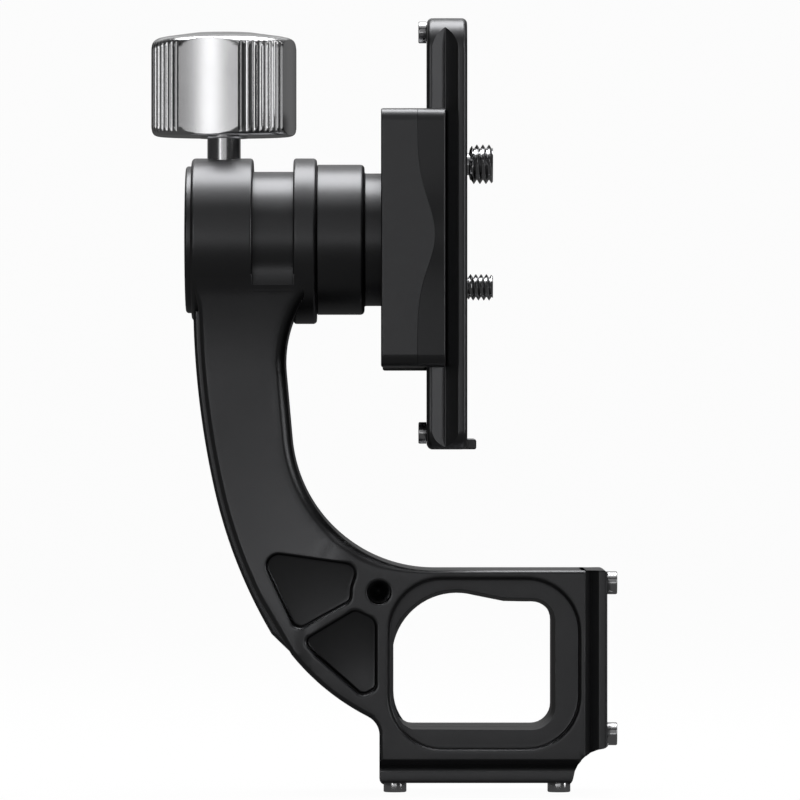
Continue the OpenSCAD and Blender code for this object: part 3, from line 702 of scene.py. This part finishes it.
def sinkSocket(skin):
    # a blind hole with a drilled tip
    floor = block["socketDepth"] - block["half"]
    rim, low = sinkWall(skin, socketRing, 0.3, 0.1, lambda x, z: floor)
    for depth in (1.0, 2.0, 2.7):
        deep = floor + block["socketTip"] * depth / block["socketRadius"]
        low.append(skin.ring([(x, deep, z) for x, z in socketRing(depth)]))
    skin.strips(low)
    skin.faces.append(tuple(low[-1]))
    return rim


def limbSide(withSocket):
    # one side of the limb and block, from its face to the middle plane
    skin = Skin()
    line = limbOutline()
    flat = [(p[0], p[1]) for p in line]
    radii = [p[2] for p in line]
    rows = [skin.ring([(p[0], -p[3], p[1]) for p in line])]
    for turn in quarter(5):
        across, down = 1 - math.cos(turn) ** 1.25, 1 - math.sin(turn) ** 1.25
        moved = inset(flat, [r * across for r in radii])
        rows.append(skin.ring([(x, -armHalf(x, z) + min(radii[i], radii[i - 1]) * down, z)
                               for i, (x, z) in enumerate(moved)]))
    skin.strips(rows)
    rims = [sinkWindow(skin)] + [sinkPocket(skin, pocket) for pocket in pockets]
    if withSocket:
        rims.append(sinkSocket(skin))
    skin.fill(skin.flat(rows[-1], 0, 2), [skin.flat(rim, 0, 2) for rim in rims],
              lambda x, z: (x, -armHalf(x, z), z), block["grid"])
    return skin


def spine():
    # the raised band along the back, its inner edge hidden in the limb
    outer = backPath(0, limb["spineTop"], limb["spineLow"]) + [limb["spineTip"]] + belly[:4]
    inner = list(reversed(inset(outer, limb["spineWide"], closed=False)))
    line = outer + inner
    radii = [1.0] * len(outer) + [0.4] * len(inner)
    rings = []
    for side in (-1, 1):
        part = []
        for turn in quarter(5):
            moved = inset(line, [r * (1 - math.cos(turn)) for r in radii])
            part.append([(x, side * (limb["spineHalf"] - r * (1 - math.sin(turn))), z)
                         for (x, z), r in zip(moved, radii)])
        rings += reversed(part) if side < 0 else part
    skin = Skin()
    skin.stack(rings)
    return skin


def dovetailBar(profile, starts, ends, place, edge):
    # a symmetric bar: profile holds (height, half width), starts and ends are functions of the height
    skin = Skin()
    count = len(profile)
    loop = profile + [(u, -v) for u, v in reversed(profile)]
    stations = [(edge * (1 - math.sin(a)), edge * (1 - math.cos(a))) for a in (0, 0.5, 1.05, math.pi / 2)]
    rings = [[place(starts(u) + along, uu, vv) for (u, v), (uu, vv) in zip(loop, inset(loop, grow))]
             for grow, along in stations]
    rings += [[place(ends(u) - along, uu, vv) for (u, v), (uu, vv) in zip(loop, inset(loop, grow))]
              for grow, along in reversed(stations)]
    rows = skin.stack(rings, True, False)
    for row in (rows[0], rows[-1]):
        for i in range(count - 1):
            skin.faces.append((row[i], row[i + 1], row[2 * count - 2 - i], row[2 * count - 1 - i]))
    return skin


def roundOff(depth):
    # how far a rounded corner stands back at a depth under the bar's outer face
    radius = block["barCorner"]
    return radius - math.sqrt(max(radius ** 2 - (radius - depth) ** 2, 0.002)) if depth < radius else 0


def footBar():
    # heights run up from the foot's face
    profile = [(0, 18.4), (0.08, 18.7), (0.3, 18.92), (0.6, 19), (1.2, 19), (2.5, 19),
               (2.75, 18.9), (4.31, 17.2), (5.32, 18.5), (6.2, 18.2)]

    def left(z):
        return block["left"] + roundOff(z)

    def scooped(z):
        z0 = max(0, min(z, 5.4))
        return block["sideFace"] - math.sqrt(block["scoopRadius"] ** 2 - z0 ** 2) - roundOff(z)

    return dovetailBar(profile, left, scooped, lambda w, u, v: (w, v, u), 0.3)


def sideBar():
    # heights are places along X, up to the side's face
    profile = [(25.3, 18.2), (26.08, 18.5), (27.24, 17.2), (29.05, 18.9), (29.3, 19), (29.95, 19),
               (30.25, 19), (30.55, 19), (30.78, 18.96), (30.95, 18.86), (31.07, 18.7),
               (31.13, 18.52), (31.15, 18.4)]
    face, radius = block["sideFace"], block["scoopRadius"]

    def scooped(x):
        deep = math.sqrt(radius ** 2 - (face - max(x, 25.6)) ** 2) if x < face else radius
        return deep + roundOff(face - x)

    def top(x):
        return block["high"] - roundOff(face - x)

    return dovetailBar(profile, scooped, top, lambda w, u, v: (u, v, w), 0.25)


def hubBand(start, end, edges, foot=0):
    # a tube about the tilt axis with rounded outer edges; foot is how far its lowest point bulges
    outer, inner = hub["radius"], hub["boreRadius"]
    line = rounded([(inner, start), (outer, start), (outer, end), (inner, end)], [0, *edges, 0], 6)

    def bulged(r, along, a):
        return r + (foot * max(0, -math.sin(a)) ** 6 if r > outer - 2 else 0)

    return turned(line + [line[0]], (0, hub["axis"]), 160, bulged)


def hubGroove():
    # the core of the groove: round above the axis, running out below it until it meets the limb's faces
    low, out = hub["grooveLow"], hub["runOutRadius"]
    upper = arc((0, hub["axis"]), hub["grooveRadius"], low, 180 - low, 72)
    turn, far = math.radians(-low), math.radians(hub["runOutTurn"])
    centre = (upper[0][0] + out * math.cos(turn), upper[0][1] - out * math.sin(turn))
    angles = [-turn + (far + turn) * i / 16 for i in range(1, 17)]
    ramp = [(centre[0] - out * math.cos(a), centre[1] - out * math.sin(a)) for a in angles]
    ramp += [(armHalf(-48, z) + 0.02, z) for z in (117.3, 116.7)] + [(15.4, 115.6)]
    outline = [(-y, z) for y, z in ramp[::-1]] + upper[::-1] + ramp
    bore = circle((0, hub["axis"]), hub["boreRadius"], 96)
    skin = Skin()
    outers, inners = [], []
    for x in (hub["grooveStart"] - 0.4, hub["grooveEnd"] + 0.4):
        outers.append(skin.ring([(x, y, z) for y, z in outline]))
        inners.append(skin.ring([(x, y, z) for y, z in bore]))
        skin.fill(skin.flat(outers[-1], 1, 2), [skin.flat(inners[-1], 1, 2)], lambda y, z: (x, y, z))
    skin.strips(outers)
    skin.strips(inners)
    return skin


def makeArm():
    skin = Skin()
    skin.add(limbSide(True))
    skin.add(limbSide(False), mirrored=True)
    for part in (spine(), footBar(), sideBar(), hubBand(hub["start"], hub["grooveStart"], hub["collarEdges"]),
                 hubBand(hub["grooveEnd"], hub["end"], hub["flangeEdges"], hub["flangeBulge"]), hubGroove()):
        skin.add(part)
    return skin.make("arm_shell", "arm", "arm", "black_anodised", 38)


makeArm()
print("arm ready")


# End cap and turning sleeve

cap = {"radius": 17.6, "face": -69.4, "seat": -68.0, "edge": 0.7, "dish": 0.25, "dishRadius": 10.3,
       "plug": 12.98, "plugDepth": 1.2}


def makeCap():
    face, seat, low = cap["face"], cap["seat"], cap["face"] + cap["dish"]
    edge = cap["dishRadius"]
    line = [(nearAxis, low), (edge - 0.8, low), (edge - 0.4, face + cap["dish"] * 0.4), (edge, face)]
    rim = [(edge + 0.2, face), (cap["radius"], face), (cap["radius"], seat)]
    line += rounded(rim, [0, cap["edge"], 0], 6)[1:]
    end = seat + cap["plugDepth"]
    line += [(cap["plug"], seat), (cap["plug"], end), (nearAxis, end)]
    turned(line, (0, hub["axis"])).make("end_cap_turned", "arm", "end_cap", "black_anodised")


sleeve = {"start": -37.9, "end": -26.6, "radius": 18, "neck": 15.9, "neckEnd": -22.6, "edge": 1.0,
          "bore": 8.52, "spigot": 10, "spigotStart": -39.0}


def makeSleeve():
    start, end, bore, spigot = sleeve["start"], sleeve["end"], sleeve["bore"], sleeve["spigotStart"]
    line = rounded([(bore, spigot), (sleeve["spigot"], spigot), (sleeve["spigot"], start),
                    (sleeve["radius"], start), (sleeve["radius"], end), (sleeve["neck"], end),
                    (sleeve["neck"], sleeve["neckEnd"]), (nearAxis, sleeve["neckEnd"])],
                   [0, 0, 0, 0.25, sleeve["edge"], 0.35, 0, 0], 6)
    line += [(nearAxis, end), (bore, end), (bore, spigot)]
    turned(line, (0, hub["axis"])).make("sleeve_turned", "spindle", "spindle_sleeve", "black_anodised")


makeCap()
makeSleeve()
print("end cap and sleeve ready")


# Locking knob: a plain turned blank, cut by a node tree into four flats and rows of flutes

knobSizes = {"axis": -60.3, "bottom": 154.1, "height": 24.9, "radius": 17.7, "flat": 16.15,
             "firstFlat": -102.3, "crown": 0.3, "flutes": 8, "fluteDepth": 0.6, "land": 0.1,
             "bossRadius": 6.1, "bossHeight": 0.45, "flatSteps": 24, 
             "fluteSteps": (0.16, 0.28, 0.39, 0.5, 0.61, 0.72, 0.84)}


def cutTree():
    # takes a turned blank about a vertical axis down to flats and flutes
    measures = ("Axis X", "Flat distance", "First flat", "Outer radius", "Flute depth", "Flute turn",
                "Flat half turn", "Land", "Crown")
    inputs = {"Geometry": "Geometry", **dict.fromkeys(measures, "Float"), "Finish": "Material"}
    tree, sockets, given = startTree("flats_and_flutes", inputs)
    x, y, z = tree.axes(tree.add("GeometryNodeInputPosition"))
    x = x - given["Axis X"]
    radius = (x * x + y * y).only("SQRT")
    angle = x.maths("ARCTAN2", y, x) - given["First flat"]
    turn = x.maths("WRAP", angle, math.pi / 4, -math.pi / 4)
    part = (turn / given["Flat half turn"]).least(1).most(-1)
    flatRadius = given["Flat distance"] / turn.only("COSINE") + given["Crown"] * (1 - part * part)
    past = turn.only("ABSOLUTE") - given["Flat half turn"]
    share = (past / given["Flute turn"]).only("FRACT")
    ridge = ((share * 2 - 1).only("ABSOLUTE") / (1 - given["Land"])).least(1)
    fluteRadius = given["Outer radius"] - given["Flute depth"] * (1 - ridge * ridge) * past.over(0)
    cut = radius.least(flatRadius).least(fluteRadius)
    scale = cut / radius.most(1e-6)
    moved = tree.add("ShaderNodeCombineXYZ", None, {"X": x * scale + given["Axis X"], "Y": y * scale, "Z": z})
    shaped = tree.add("GeometryNodeSetPosition", None, {"Geometry": given["Geometry"], "Position": moved})
    endTree(tree, shaped, given["Finish"])
    return tree, sockets


def knobProfile():
    radius, boss, low = knobSizes["radius"], knobSizes["bossRadius"], knobSizes["bottom"]
    high = low + knobSizes["height"]
    under = low - knobSizes["bossHeight"]
    line = [(nearAxis, under), (boss - 0.4, under), (boss, low - 0.1), (boss, low)]
    line += rounded([(12, low), (radius, low), (radius, high - 1.75), (14, high - 0.95), (7, high)],
                    [0, 2.2, 3.0, 9, 0], 20)
    line += [(5, high), (nearAxis, high)]
    return [(r, min(z, high)) for r, z in line]


def makeKnob():
    k = knobSizes
    halfFlat = math.acos(k["flat"] / k["radius"])
    fluteTurn = (math.pi / 2 - 2 * halfFlat) / k["flutes"]
    angles = []
    for side in range(4):
        start = math.radians(k["firstFlat"] + 90 * side) - halfFlat
        angles += [start + 2 * halfFlat * i / k["flatSteps"] for i in range(k["flatSteps"])]
        for flute in range(k["flutes"]):
            first = start + 2 * halfFlat + fluteTurn * flute
            angles += [first + fluteTurn * t for t in (0, k["land"] / 2, *k["fluteSteps"], 1 - k["land"] / 2)]
    skin = Skin()
    skin.stack([[(k["axis"] + r * math.cos(a), r * math.sin(a), z) for a in angles]
                for r, z in knobProfile()])
    tree, sockets = cutTree()
    mesh = treeMesh(skin.mesh("knob_blank"), tree, sockets, {
        "Axis X": k["axis"] * mm, "Flat distance": k["flat"] * mm, "First flat": math.radians(k["firstFlat"]),
        "Outer radius": k["radius"] * mm, "Flute depth": k["fluteDepth"] * mm, "Flute turn": fluteTurn,
        "Flat half turn": halfFlat, "Land": k["land"], "Crown": k["crown"] * mm,
        "Finish": finishes["knob_steel"]}, "knob_cut")
    return piece("knob_cut", mesh, "knob", "knob", "knob_steel", 17)


knob = makeKnob()
# the photograph shows the collar as bright as if nothing stood over it
knob.visible_shadow = False
knob.visible_glossy = False
print("knob ready")


# Lens clamp: fixed block and moving jaw drawn from one section

clamp = {"back": -22.6, "bed": -11.78, "front": -7.35, "lowEdge": -10.5, "half": 30, "low": 98.8,
         "high": 160.0, "corner": 3.0, "round": 0.45, "noseHalf": 16.78, "lipHalf": 19.08, "edge": 0.55,
         "blockJoint": 13.4, "jawJoint": -13.9, "jawBack": 0.3, "jawTaller": 0.7, "lineStart": -14.05,
         "lineRise": 4.2, "lineMiddle": 130, "lineLow": 10.7, "lineHigh": 11.4, "step": 0.3, "bevel": 1.1}


def clampPart(back, joint, low, high, side, step, bevel):
    # side -1 is the front block, side 1 the jaw; the section is stacked from bottom to top
    corner, half, edge = clamp["corner"], clamp["half"], clamp["edge"]
    steps = [0, 0.12, 0.3, 0.6, 1.0, 1.5, 2.1, 2.8, corner]
    heights = [low + t for t in steps] + [mixed(low + corner, high - corner, i / 56) for i in range(1, 56)]
    heights += [high - t for t in reversed(steps)]
    rings = []
    for z in heights:
        away = min(z - low, high - z)
        depth = half - corner + math.sqrt(max(corner ** 2 - (corner - min(away, corner)) ** 2, 0))
        rest = 1 - min(away, clamp["round"]) / clamp["round"]
        shrink = clamp["round"] * (1 - math.sqrt(max(0, 1 - rest ** 2)))
        middle = clamp["lineMiddle"]
        wide = clamp["lineHigh"] if z > middle else clamp["lineLow"]
        start = clamp["lineStart"] + clamp["lineRise"] * math.exp(-((z - middle) / wide) ** 2)
        line = [(back, joint), (back, -depth), (start, -depth), (start + 0.12, -depth + step),
                (clamp["front"], -depth + bevel), (clamp["front"], -clamp["noseHalf"]),
                (clamp["lowEdge"], -clamp["lipHalf"]), (clamp["bed"], -clamp["lipHalf"]),
                (clamp["bed"], joint)]
        line = rounded(line, [edge, edge, 0, 0, edge, 0.35, 0.2, 0.15, edge], 4)
        rings.append([(x, y * -side, z) for x, y in inset(line, shrink)])
    skin = Skin()
    skin.stack(rings)
    return skin


def makeClamp():
    back, low, high, taller = clamp["back"], clamp["low"], clamp["high"], clamp["jawTaller"]
    front = clampPart(back, clamp["blockJoint"], low, high, -1, clamp["step"], clamp["bevel"])
    front.make("clamp_block", "spindle", "clamp_body", "black_anodised", 30)
    jaw = clampPart(back + clamp["jawBack"], clamp["jawJoint"], low - taller, high + taller, 1, 0.01, 0.02)
    jaw.make("jaw_block", "jaw", "moving_jaw", "black_anodised", 30)


makeClamp()
print("clamp ready")


# Lens plate with V-grooves along both sides, two slots and a lip

plate = {"back": -11.7, "front": -2.1, "low": 79.2, "high": 182.0, "half": 19, "highCorner": 7.8,
         "lowCorner": 4.5, "edge": 1.3, "backRound": 1.0, "frontRound": 1.3, "flange": 1.2, "flank": 3.15,
         "groove": 2.3, "shoulder": -7.0, "slotEdge": 0.25, "lipHeight": 2.2, "lipThick": 2.5,
         "lipHalf": 11, "lipRoot": -3.5, "lipEdge": 0.4}
slots = [{"low": 141.4, "high": 166.0, "narrow": 4.9625, "wide": 7.4},
         {"low": 93.2, "high": 121.4, "narrow": 3.425, "wide": 5.3}]


def plateRing(x, groove, ends, sides):
    # a rounded rectangle in YZ, its long sides cut back by the groove's depth
    half, low, high = plate["half"] - sides, plate["low"] + ends, plate["high"] - ends
    points = []
    for sy, sz, forward in ((1, 1, False), (-1, 1, True), (-1, -1, False), (1, -1, True)):
        corner = plate["highCorner"] if sz > 0 else plate["lowCorner"]
        lean = math.acos(min(1, max(0, (corner - groove) / corner)))
        centre = (half - corner, (high if sz > 0 else low) - sz * corner)
        part = [(sy * (centre[0] + corner * math.cos(a)), centre[1] + sz * corner * math.sin(a))
                for a in [lean + (math.pi / 2 - lean) * i / 16 for i in range(17)]]
        points += reversed(part) if forward else part
    return [(x, y, z) for y, z in points]


def plateLevels():
    # rings from the back of the plate to its front: rounded edges, and the groove in between
    edge, thick = plate["edge"], plate["front"] - plate["back"]
    root, behind, ahead = plate["flange"] + plate["flank"], plate["backRound"], plate["frontRound"]
    section = rounded([(0, 3), (0, 0), (plate["flange"], 0), (root, plate["groove"] - 0.06),
                       (root + plate["flank"], 0), (thick, 0), (thick, 3)],
                      [0, behind, 0.5, 0.3, 0.7, ahead, 0], 7)[1:-1]
    marks = {d for d, cut in section} | {1.5 + 0.35 * i for i in range(17)}
    for turn in quarter(6):
        marks |= {edge * (1 - math.cos(turn)), thick - edge * (1 - math.cos(turn))}
    levels = []
    for d in sorted(marks):
        near = min(d, thick - d, edge)
        ends = edge - math.sqrt(max(edge ** 2 - (edge - near) ** 2, 0))
        cuts = [mixed(v0, v1, (d - u0) / (u1 - u0) if u1 > u0 else 0)
                for (u0, v0), (u1, v1) in zip(section, section[1:]) if u0 <= d <= u1 + 1e-9]
        cut = max(cuts) if cuts else 0
        # near the two broad faces the cut rounds the sides off; between them it is the groove
        nearFace = d < behind + 0.01 or d > thick - ahead - 0.01
        levels.append(plateRing(plate["back"] + d, 0 if nearFace else cut, ends, cut if nearFace else 0))
    return levels


def slotLine(slot, width):
    r = slot[width]
    return arc((0, slot["high"]), r, 0, 180, 20) + arc((0, slot["low"]), r, 180, 360, 20)


def plateFace(skin, row, x, width, inwards):
    # one broad face with an eased edge around each slot; gives the lowest ring of each slot
    edge = plate["slotEdge"]
    holes, lowest = [], []
    for slot in slots:
        line = slotLine(slot, width)
        rings = [skin.ring([(x + deep * inwards, y, z) for y, z in inset(line, -grow)])
                 for grow, deep in ((edge, 0), (edge * 0.3, edge * 0.3), (0, edge))]
        skin.strips(rings)
        holes.append(skin.flat(rings[0], 1, 2))
        lowest.append(rings[-1])
    skin.fill(skin.flat(row, 1, 2), holes, lambda y, z: (x, y, z))
    return lowest


def plateLip():
    root, tip, low = plate["lipRoot"], plate["front"] + plate["lipHeight"], plate["low"]
    high, edge = low + plate["lipThick"], plate["lipEdge"]
    line = rounded([(root, low), (tip, low), (tip, high), (root, high)], [0.1, 0.5, 0.6, 0.1], 5)
    half = []
    for turn in quarter(3):
        moved = inset(line, edge * (1 - math.cos(turn)))
        half.append([(x, -plate["lipHalf"] + edge * (1 - math.sin(turn)), z) for x, z in moved])
    skin = Skin()
    skin.stack(half[::-1] + [[(x, -y, z) for x, y, z in ring] for ring in half])
    return skin


def makePlate():
    skin = Skin()
    rows = skin.stack(plateLevels(), True, False)
    backs = plateFace(skin, rows[0], plate["back"], "wide", 1)
    fronts = plateFace(skin, rows[-1], plate["front"], "narrow", -1)
    for slot, behind, ahead in zip(slots, backs, fronts):
        shoulder = [skin.ring([(plate["shoulder"], y, z) for y, z in slotLine(slot, width)])
                    for width in ("narrow", "wide")]
        skin.strips([ahead, *shoulder, behind])
    skin.add(plateLip())
    return skin.make("plate_shell", "plate", "lens_plate", "black_anodised", 26)


makePlate()
print("lens plate ready")


# Stop screws: turned heads with a six-sided key recess

stopScrews = {"blockHead": 2.75, "plateHead": 2.6, "blockKey": 1.4, "plateKey": 1.2, "thread": 1.5,
              "length": 6, "footAt": (-19.3, 20.0), "footTall": 3, "sideAt": (47.15, 10.95),
              "sideTall": 2.8, "plateAt": (83.1, 179.1), "plateTall": 2}


def capScrew(place, head, height, key):
    # place turns (along, across, up) of the screw's own frame into the shared one
    shank, end, floor = stopScrews["thread"], -stopScrews["length"], height * 0.4
    line = [(nearAxis, end), (shank - 0.4, end), (shank, end + 0.4), (shank, 0)]
    line += rounded([(head, 0), (head, height), (key, height), (key, floor)], [0.12, 0.32, 0.15, 0], 5)
    line += [(nearAxis, floor - 0.2)]
    rings = []
    for radius, along in line:
        keyed = along > height * 0.35 and radius < head * 0.75
        ring = []
        for a in [2 * math.pi * i / 96 for i in range(96)]:
            r = sixSided(radius, a) if keyed else radius
            ring.append(place(along, r * math.cos(a), r * math.sin(a)))
        rings.append(ring)
    skin = Skin()
    skin.stack(rings)
    return skin


def makeStopScrews():
    head, key = stopScrews["blockHead"], stopScrews["blockKey"]
    base = Skin()
    for x in stopScrews["footAt"]:
        base.add(capScrew(lambda a, u, v: (x + u, v, -a), head, stopScrews["footTall"], key))
    face = block["sideFace"]
    for z in stopScrews["sideAt"]:
        base.add(capScrew(lambda a, u, v: (face + a, u, z + v), head, stopScrews["sideTall"], key))
    base.make("block_stop_screws", "arm", "base_stop_screws", "stainless", 20)
    head, key = stopScrews["plateHead"], stopScrews["plateKey"]
    ends = Skin()
    for z in stopScrews["plateAt"]:
        ends.add(capScrew(lambda a, u, v: (plate["back"] - a, u, z + v), head, stopScrews["plateTall"], key))
    ends.make("plate_stop_heads", "plate", "plate_stop_screws", "stainless", 20)


makeStopScrews()


# Lens screws: turned heads and shanks, their threads grown by a node tree

lensScrews = {
    "lens_screw_large": {"up": 147.5, "crest": 4.7625, "neck": 2.6, "head": 7.0, "start": -1.6,
                         "pitch": 1.45, "depth": 1.05, "body": "large_screw"},
    "lens_screw_small": {"up": 118.0, "crest": 3.175, "neck": 2.875, "head": 4.9, "start": -2.35,
                         "pitch": 1.27, "depth": 0.9, "body": "small_screw"},
}
lensScrewSizes = {"tip": 4.17, "under": -8.16, "height": 3, "edge": 0.15, "runIn": 0.25, "chamfer": 0.55}


def threadTree():
    # bends a flat grid (turns by profile) into the skin of a screw thread
    inputs = {"Geometry": "Geometry", "Pitch": "Float", "Root radius": "Float", "Depth": "Float",
              "Turns": "Float", "Start": "Vector", "Tip": "Float", "Chamfer": "Float", "Finish": "Material"}
    tree, sockets, given = startTree("screw_thread", inputs)
    turns = given["Turns"] + 2
    flat = tree.add("GeometryNodeMeshGrid", None, {
        "Size X": turns, "Size Y": 1, "Vertices X": (turns * 60).only("ROUND"), "Vertices Y": 13})
    turn, across = tree.axes(tree.add("GeometryNodeInputPosition"))[:2]
    along = (turn + given["Turns"] * 0.5 + across) * given["Pitch"]
    share = across.only("ABSOLUTE") * 2
    root = given["Root radius"]
    crest = root + given["Depth"]
    ridge = crest - given["Depth"] * ((share - 0.06) * 1.12).most(0).least(1)
    nose = crest - given["Chamfer"] + (given["Tip"] - along)
    runIn = (root + along * 1.6).most(root)
    radius = ridge.least(nose).least(runIn).most(root * 0.7)
    bend = turn * (2 * math.pi)
    held = along.least(given["Tip"]).most(0)
    laid = tree.add("ShaderNodeCombineXYZ", None, {
        "X": held, "Y": radius * bend.only("COSINE"), "Z": radius * bend.only("SINE")})
    moved = tree.add("ShaderNodeVectorMath", {"operation": "ADD"}, {0: laid, 1: given["Start"]})
    shaped = tree.add("GeometryNodeSetPosition", None, {"Geometry": flat, "Position": moved})
    both = tree.add("GeometryNodeJoinGeometry", None, {0: given["Geometry"]})
    tree.plug(both.socket.node, {0: shaped})
    endTree(tree, both, given["Finish"])
    return tree, sockets


def makeLensScrew(node, screw, tree, sockets):
    tip, under, edge = lensScrewSizes["tip"], lensScrewSizes["under"], lensScrewSizes["edge"]
    top = under - lensScrewSizes["height"]
    head, neck = screw["head"], screw["neck"]
    root, start = screw["crest"] - screw["depth"], screw["start"] + lensScrewSizes["runIn"]
    key = head * 0.42

    def keyed(r, along, a):
        return sixSided(r, a) if along < under - 0.5 and r <= key + 0.21 else r

    line = [(nearAxis, under - 0.9), (key, under - 0.9), (key, top + edge), (key + 0.2, top),
            (head - 0.5, top), (head - edge, top + edge), (head, top + 0.5), (head, under - edge),
            (head - edge, under), (neck, under), (neck, screw["start"]), (root - 0.02, start),
            (root - 0.02, tip - 0.02), (root - 0.2, tip), (nearAxis, tip)]
    skin = turned(line, (0, screw["up"]), 96, keyed)
    length = tip - start
    mesh = treeMesh(skin.mesh(node + "_core"), tree, sockets, {
        "Pitch": screw["pitch"] * mm, "Root radius": root * mm, "Depth": screw["depth"] * mm,
        "Turns": length / screw["pitch"], "Start": (start * mm, 0, screw["up"] * mm), "Tip": length * mm,
        "Chamfer": lensScrewSizes["chamfer"] * mm, "Finish": finishes["stainless"]}, node + "_turned")
    return piece(node + "_turned", mesh, screw["body"], node, "stainless", 30)


threads, threadSockets = threadTree()
for node, screw in lensScrews.items():
    makeLensScrew(node, screw, threads, threadSockets)
print("screws ready")


# Finishes on the nodes kept as the CAD gives them

nodeFinishes = {
    "bearing_steel": ["bearing_outer_rings", "bearing_inner_rings", "bearing_balls", "bearing_spacer",
                      "brake_ring", "spindle_nut", "spindle_shaft"],
    "cage_brass": ["bearing_cages"],
    "shoe_polymer": ["brake_shoe"],
    "knob_steel": ["lock_stud"],
    "stainless": ["clamp_bolts", "jaw_guide_pins", "clamp_screw", "clamp_washer", "lens_washer_large",
                  "lens_washer_small"],
    "black_anodised": ["clamp_knob"],
}
for name, nodes in nodeFinishes.items():
    for node in nodes:
        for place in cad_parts[node].material_slots:
            place.material = finishes[name]
print("all nodes have a finish")


# Studio: pale floor, a big soft lamp above, weaker ones around, a dark room for what the metal mirrors

studio = {"cameraPlace": (-0.018105, -1.9, 0.09098), "lens": 356.53, "aim": (-0.02, 0, 0.1), "roomGrey": 0.03,
          "floorHeight": -3.1, "floorFront": -3500, "floorBack": 2600, "bend": 500, "wallTop": 5000,
          "halfWidth": 4000, "floorColour": 0.9, "floorGlow": 0.97, "floorMirrored": 0.08}
lamps = {
    "key": {"place": (-0.03, 0.17, 0.85), "size": (0.9, 0.5), "power": 9.0},
    "brow": {"place": (-0.03, -0.27, 0.85), "size": (0.9, 0.38), "power": 0.5},
    "tail": {"place": (-0.03, 0.72, 0.72), "size": (0.9, 0.5), "power": 0.45},
    "fill": {"place": (-0.6, -1.15, 0.22), "size": (0.18, 0.8), "power": 0.78},
    "wide": {"place": (-0.62, -1.24, 0.22), "size": (0.7, 0.8), "power": 0.42},
    "rim": {"place": (0.95, -0.52, 0.25), "size": (0.26, 0.8), "power": 1.5},
    "back": {"place": (0.5, 1.0, 0.2), "size": (0.35, 0.7), "power": 0.06},
    "front": {"place": (-0.05, -2.0, 0.8), "size": (1.3, 1.7), "power": 1.4},
    "low": {"place": (-0.05, -2.0, 0.1), "size": (1.3, 0.24), "power": 0.6},
    "rear": {"place": (-0.3, 1.6, 0.75), "size": (1.6, 0.8), "power": 1.0},
    "side": {"place": (1.25, 0.3, 1.15), "size": (0.8, 0.6), "power": 1.6},
}


def makeCamera(scene):
    camera = bpy.data.objects.new("camera", bpy.data.cameras.new("camera"))
    camera.location = studio["cameraPlace"]
    camera.rotation_euler = (math.pi / 2, 0, 0)
    camera.data.lens = studio["lens"]
    camera.data.sensor_width = 36
    camera.data.clip_end = 50
    scene.collection.objects.link(camera)
    scene.camera = camera


def makeLamp(scene, name, values):
    lamp = bpy.data.lights.new(name, "AREA")
    lamp.shape = "RECTANGLE"
    lamp.size, lamp.size_y = values["size"]
    lamp.energy = values["power"]
    thing = bpy.data.objects.new(name, lamp)
    thing.location = values["place"]
    towards = Vector(studio["aim"]) - Vector(values["place"])
    thing.rotation_euler = towards.to_track_quat("-Z", "Y").to_euler()
    scene.collection.objects.link(thing)


def emptied(nodeTree):
    for node in list(nodeTree.nodes):
        nodeTree.nodes.remove(node)
    return Tree(nodeTree)


def makeRoom(scene):
    # white for the camera, dark for what the metal mirrors
    world = bpy.data.worlds.new("room")
    scene.world = world
    world.use_nodes = True
    tree = emptied(world.node_tree)
    seen = tree.add("ShaderNodeLightPath", out="Is Camera Ray")
    grey = studio["roomGrey"]
    room = tree.add("ShaderNodeBackground", None, {"Color": (grey, grey, grey * 1.02, 1), "Strength": 1})
    white = tree.add("ShaderNodeBackground", None, {"Color": (1, 1, 1, 1), "Strength": 1})
    joined = tree.add("ShaderNodeMixShader", None, {0: seen, 1: room, 2: white})
    tree.add("ShaderNodeOutputWorld", None, {"Surface": joined})


def floorFinish():
    # near white for the camera, dim for what the metal mirrors, plain pale paper for all other light
    finish = bpy.data.materials.new("pale_floor")
    finish.use_nodes = True
    tree = emptied(finish.node_tree)
    path = tree.add("ShaderNodeLightPath").socket.node
    seen, mirrored = (Wire(tree, path.outputs[name]) for name in ("Is Camera Ray", "Is Glossy Ray"))
    pale = studio["floorColour"]
    dull = tree.add("ShaderNodeBsdfDiffuse", None, {"Color": (pale, pale, pale, 1)})
    dim = tree.add("ShaderNodeEmission", None, {"Color": (1, 1, 1, 1), "Strength": studio["floorMirrored"]})
    glow = tree.add("ShaderNodeEmission", None, {"Color": (1, 1, 1, 1), "Strength": 1})
    plain = tree.add("ShaderNodeMixShader", None, {0: mirrored, 1: dull, 2: dim})
    joined = tree.add("ShaderNodeMixShader", None, {0: seen * studio["floorGlow"], 1: plain, 2: glow})
    tree.add("ShaderNodeOutputMaterial", None, {"Surface": joined})
    return finish


def makeFloor(scene):
    # a floor that sweeps up into a wall far behind
    floor, back, bend = studio["floorHeight"], studio["floorBack"], studio["bend"]
    line = [(studio["floorFront"], floor), (back, floor)]
    line += [(back + bend * math.sin(a), floor + bend - bend * math.cos(a)) for a in quarter(12)[1:]]
    line += [(back + bend, studio["wallTop"])]
    skin = Skin()
    half = studio["halfWidth"]
    skin.stack([[(x, y, z) for y, z in line] for x in (-half, half)], False, False)
    mesh = skin.mesh("floor_sweep")
    mesh.shade_smooth()
    mesh.materials.append(floorFinish())
    thing = bpy.data.objects.new("floor_sweep", mesh)
    scene.collection.objects.link(thing)


def makeStudio(scene):
    makeCamera(scene)
    for name, values in lamps.items():
        makeLamp(scene, name, values)
    makeRoom(scene)
    makeFloor(scene)
    scene.view_settings.view_transform = "Standard"


makeStudio(bpy.context.scene)
print("studio ready")

print("done")
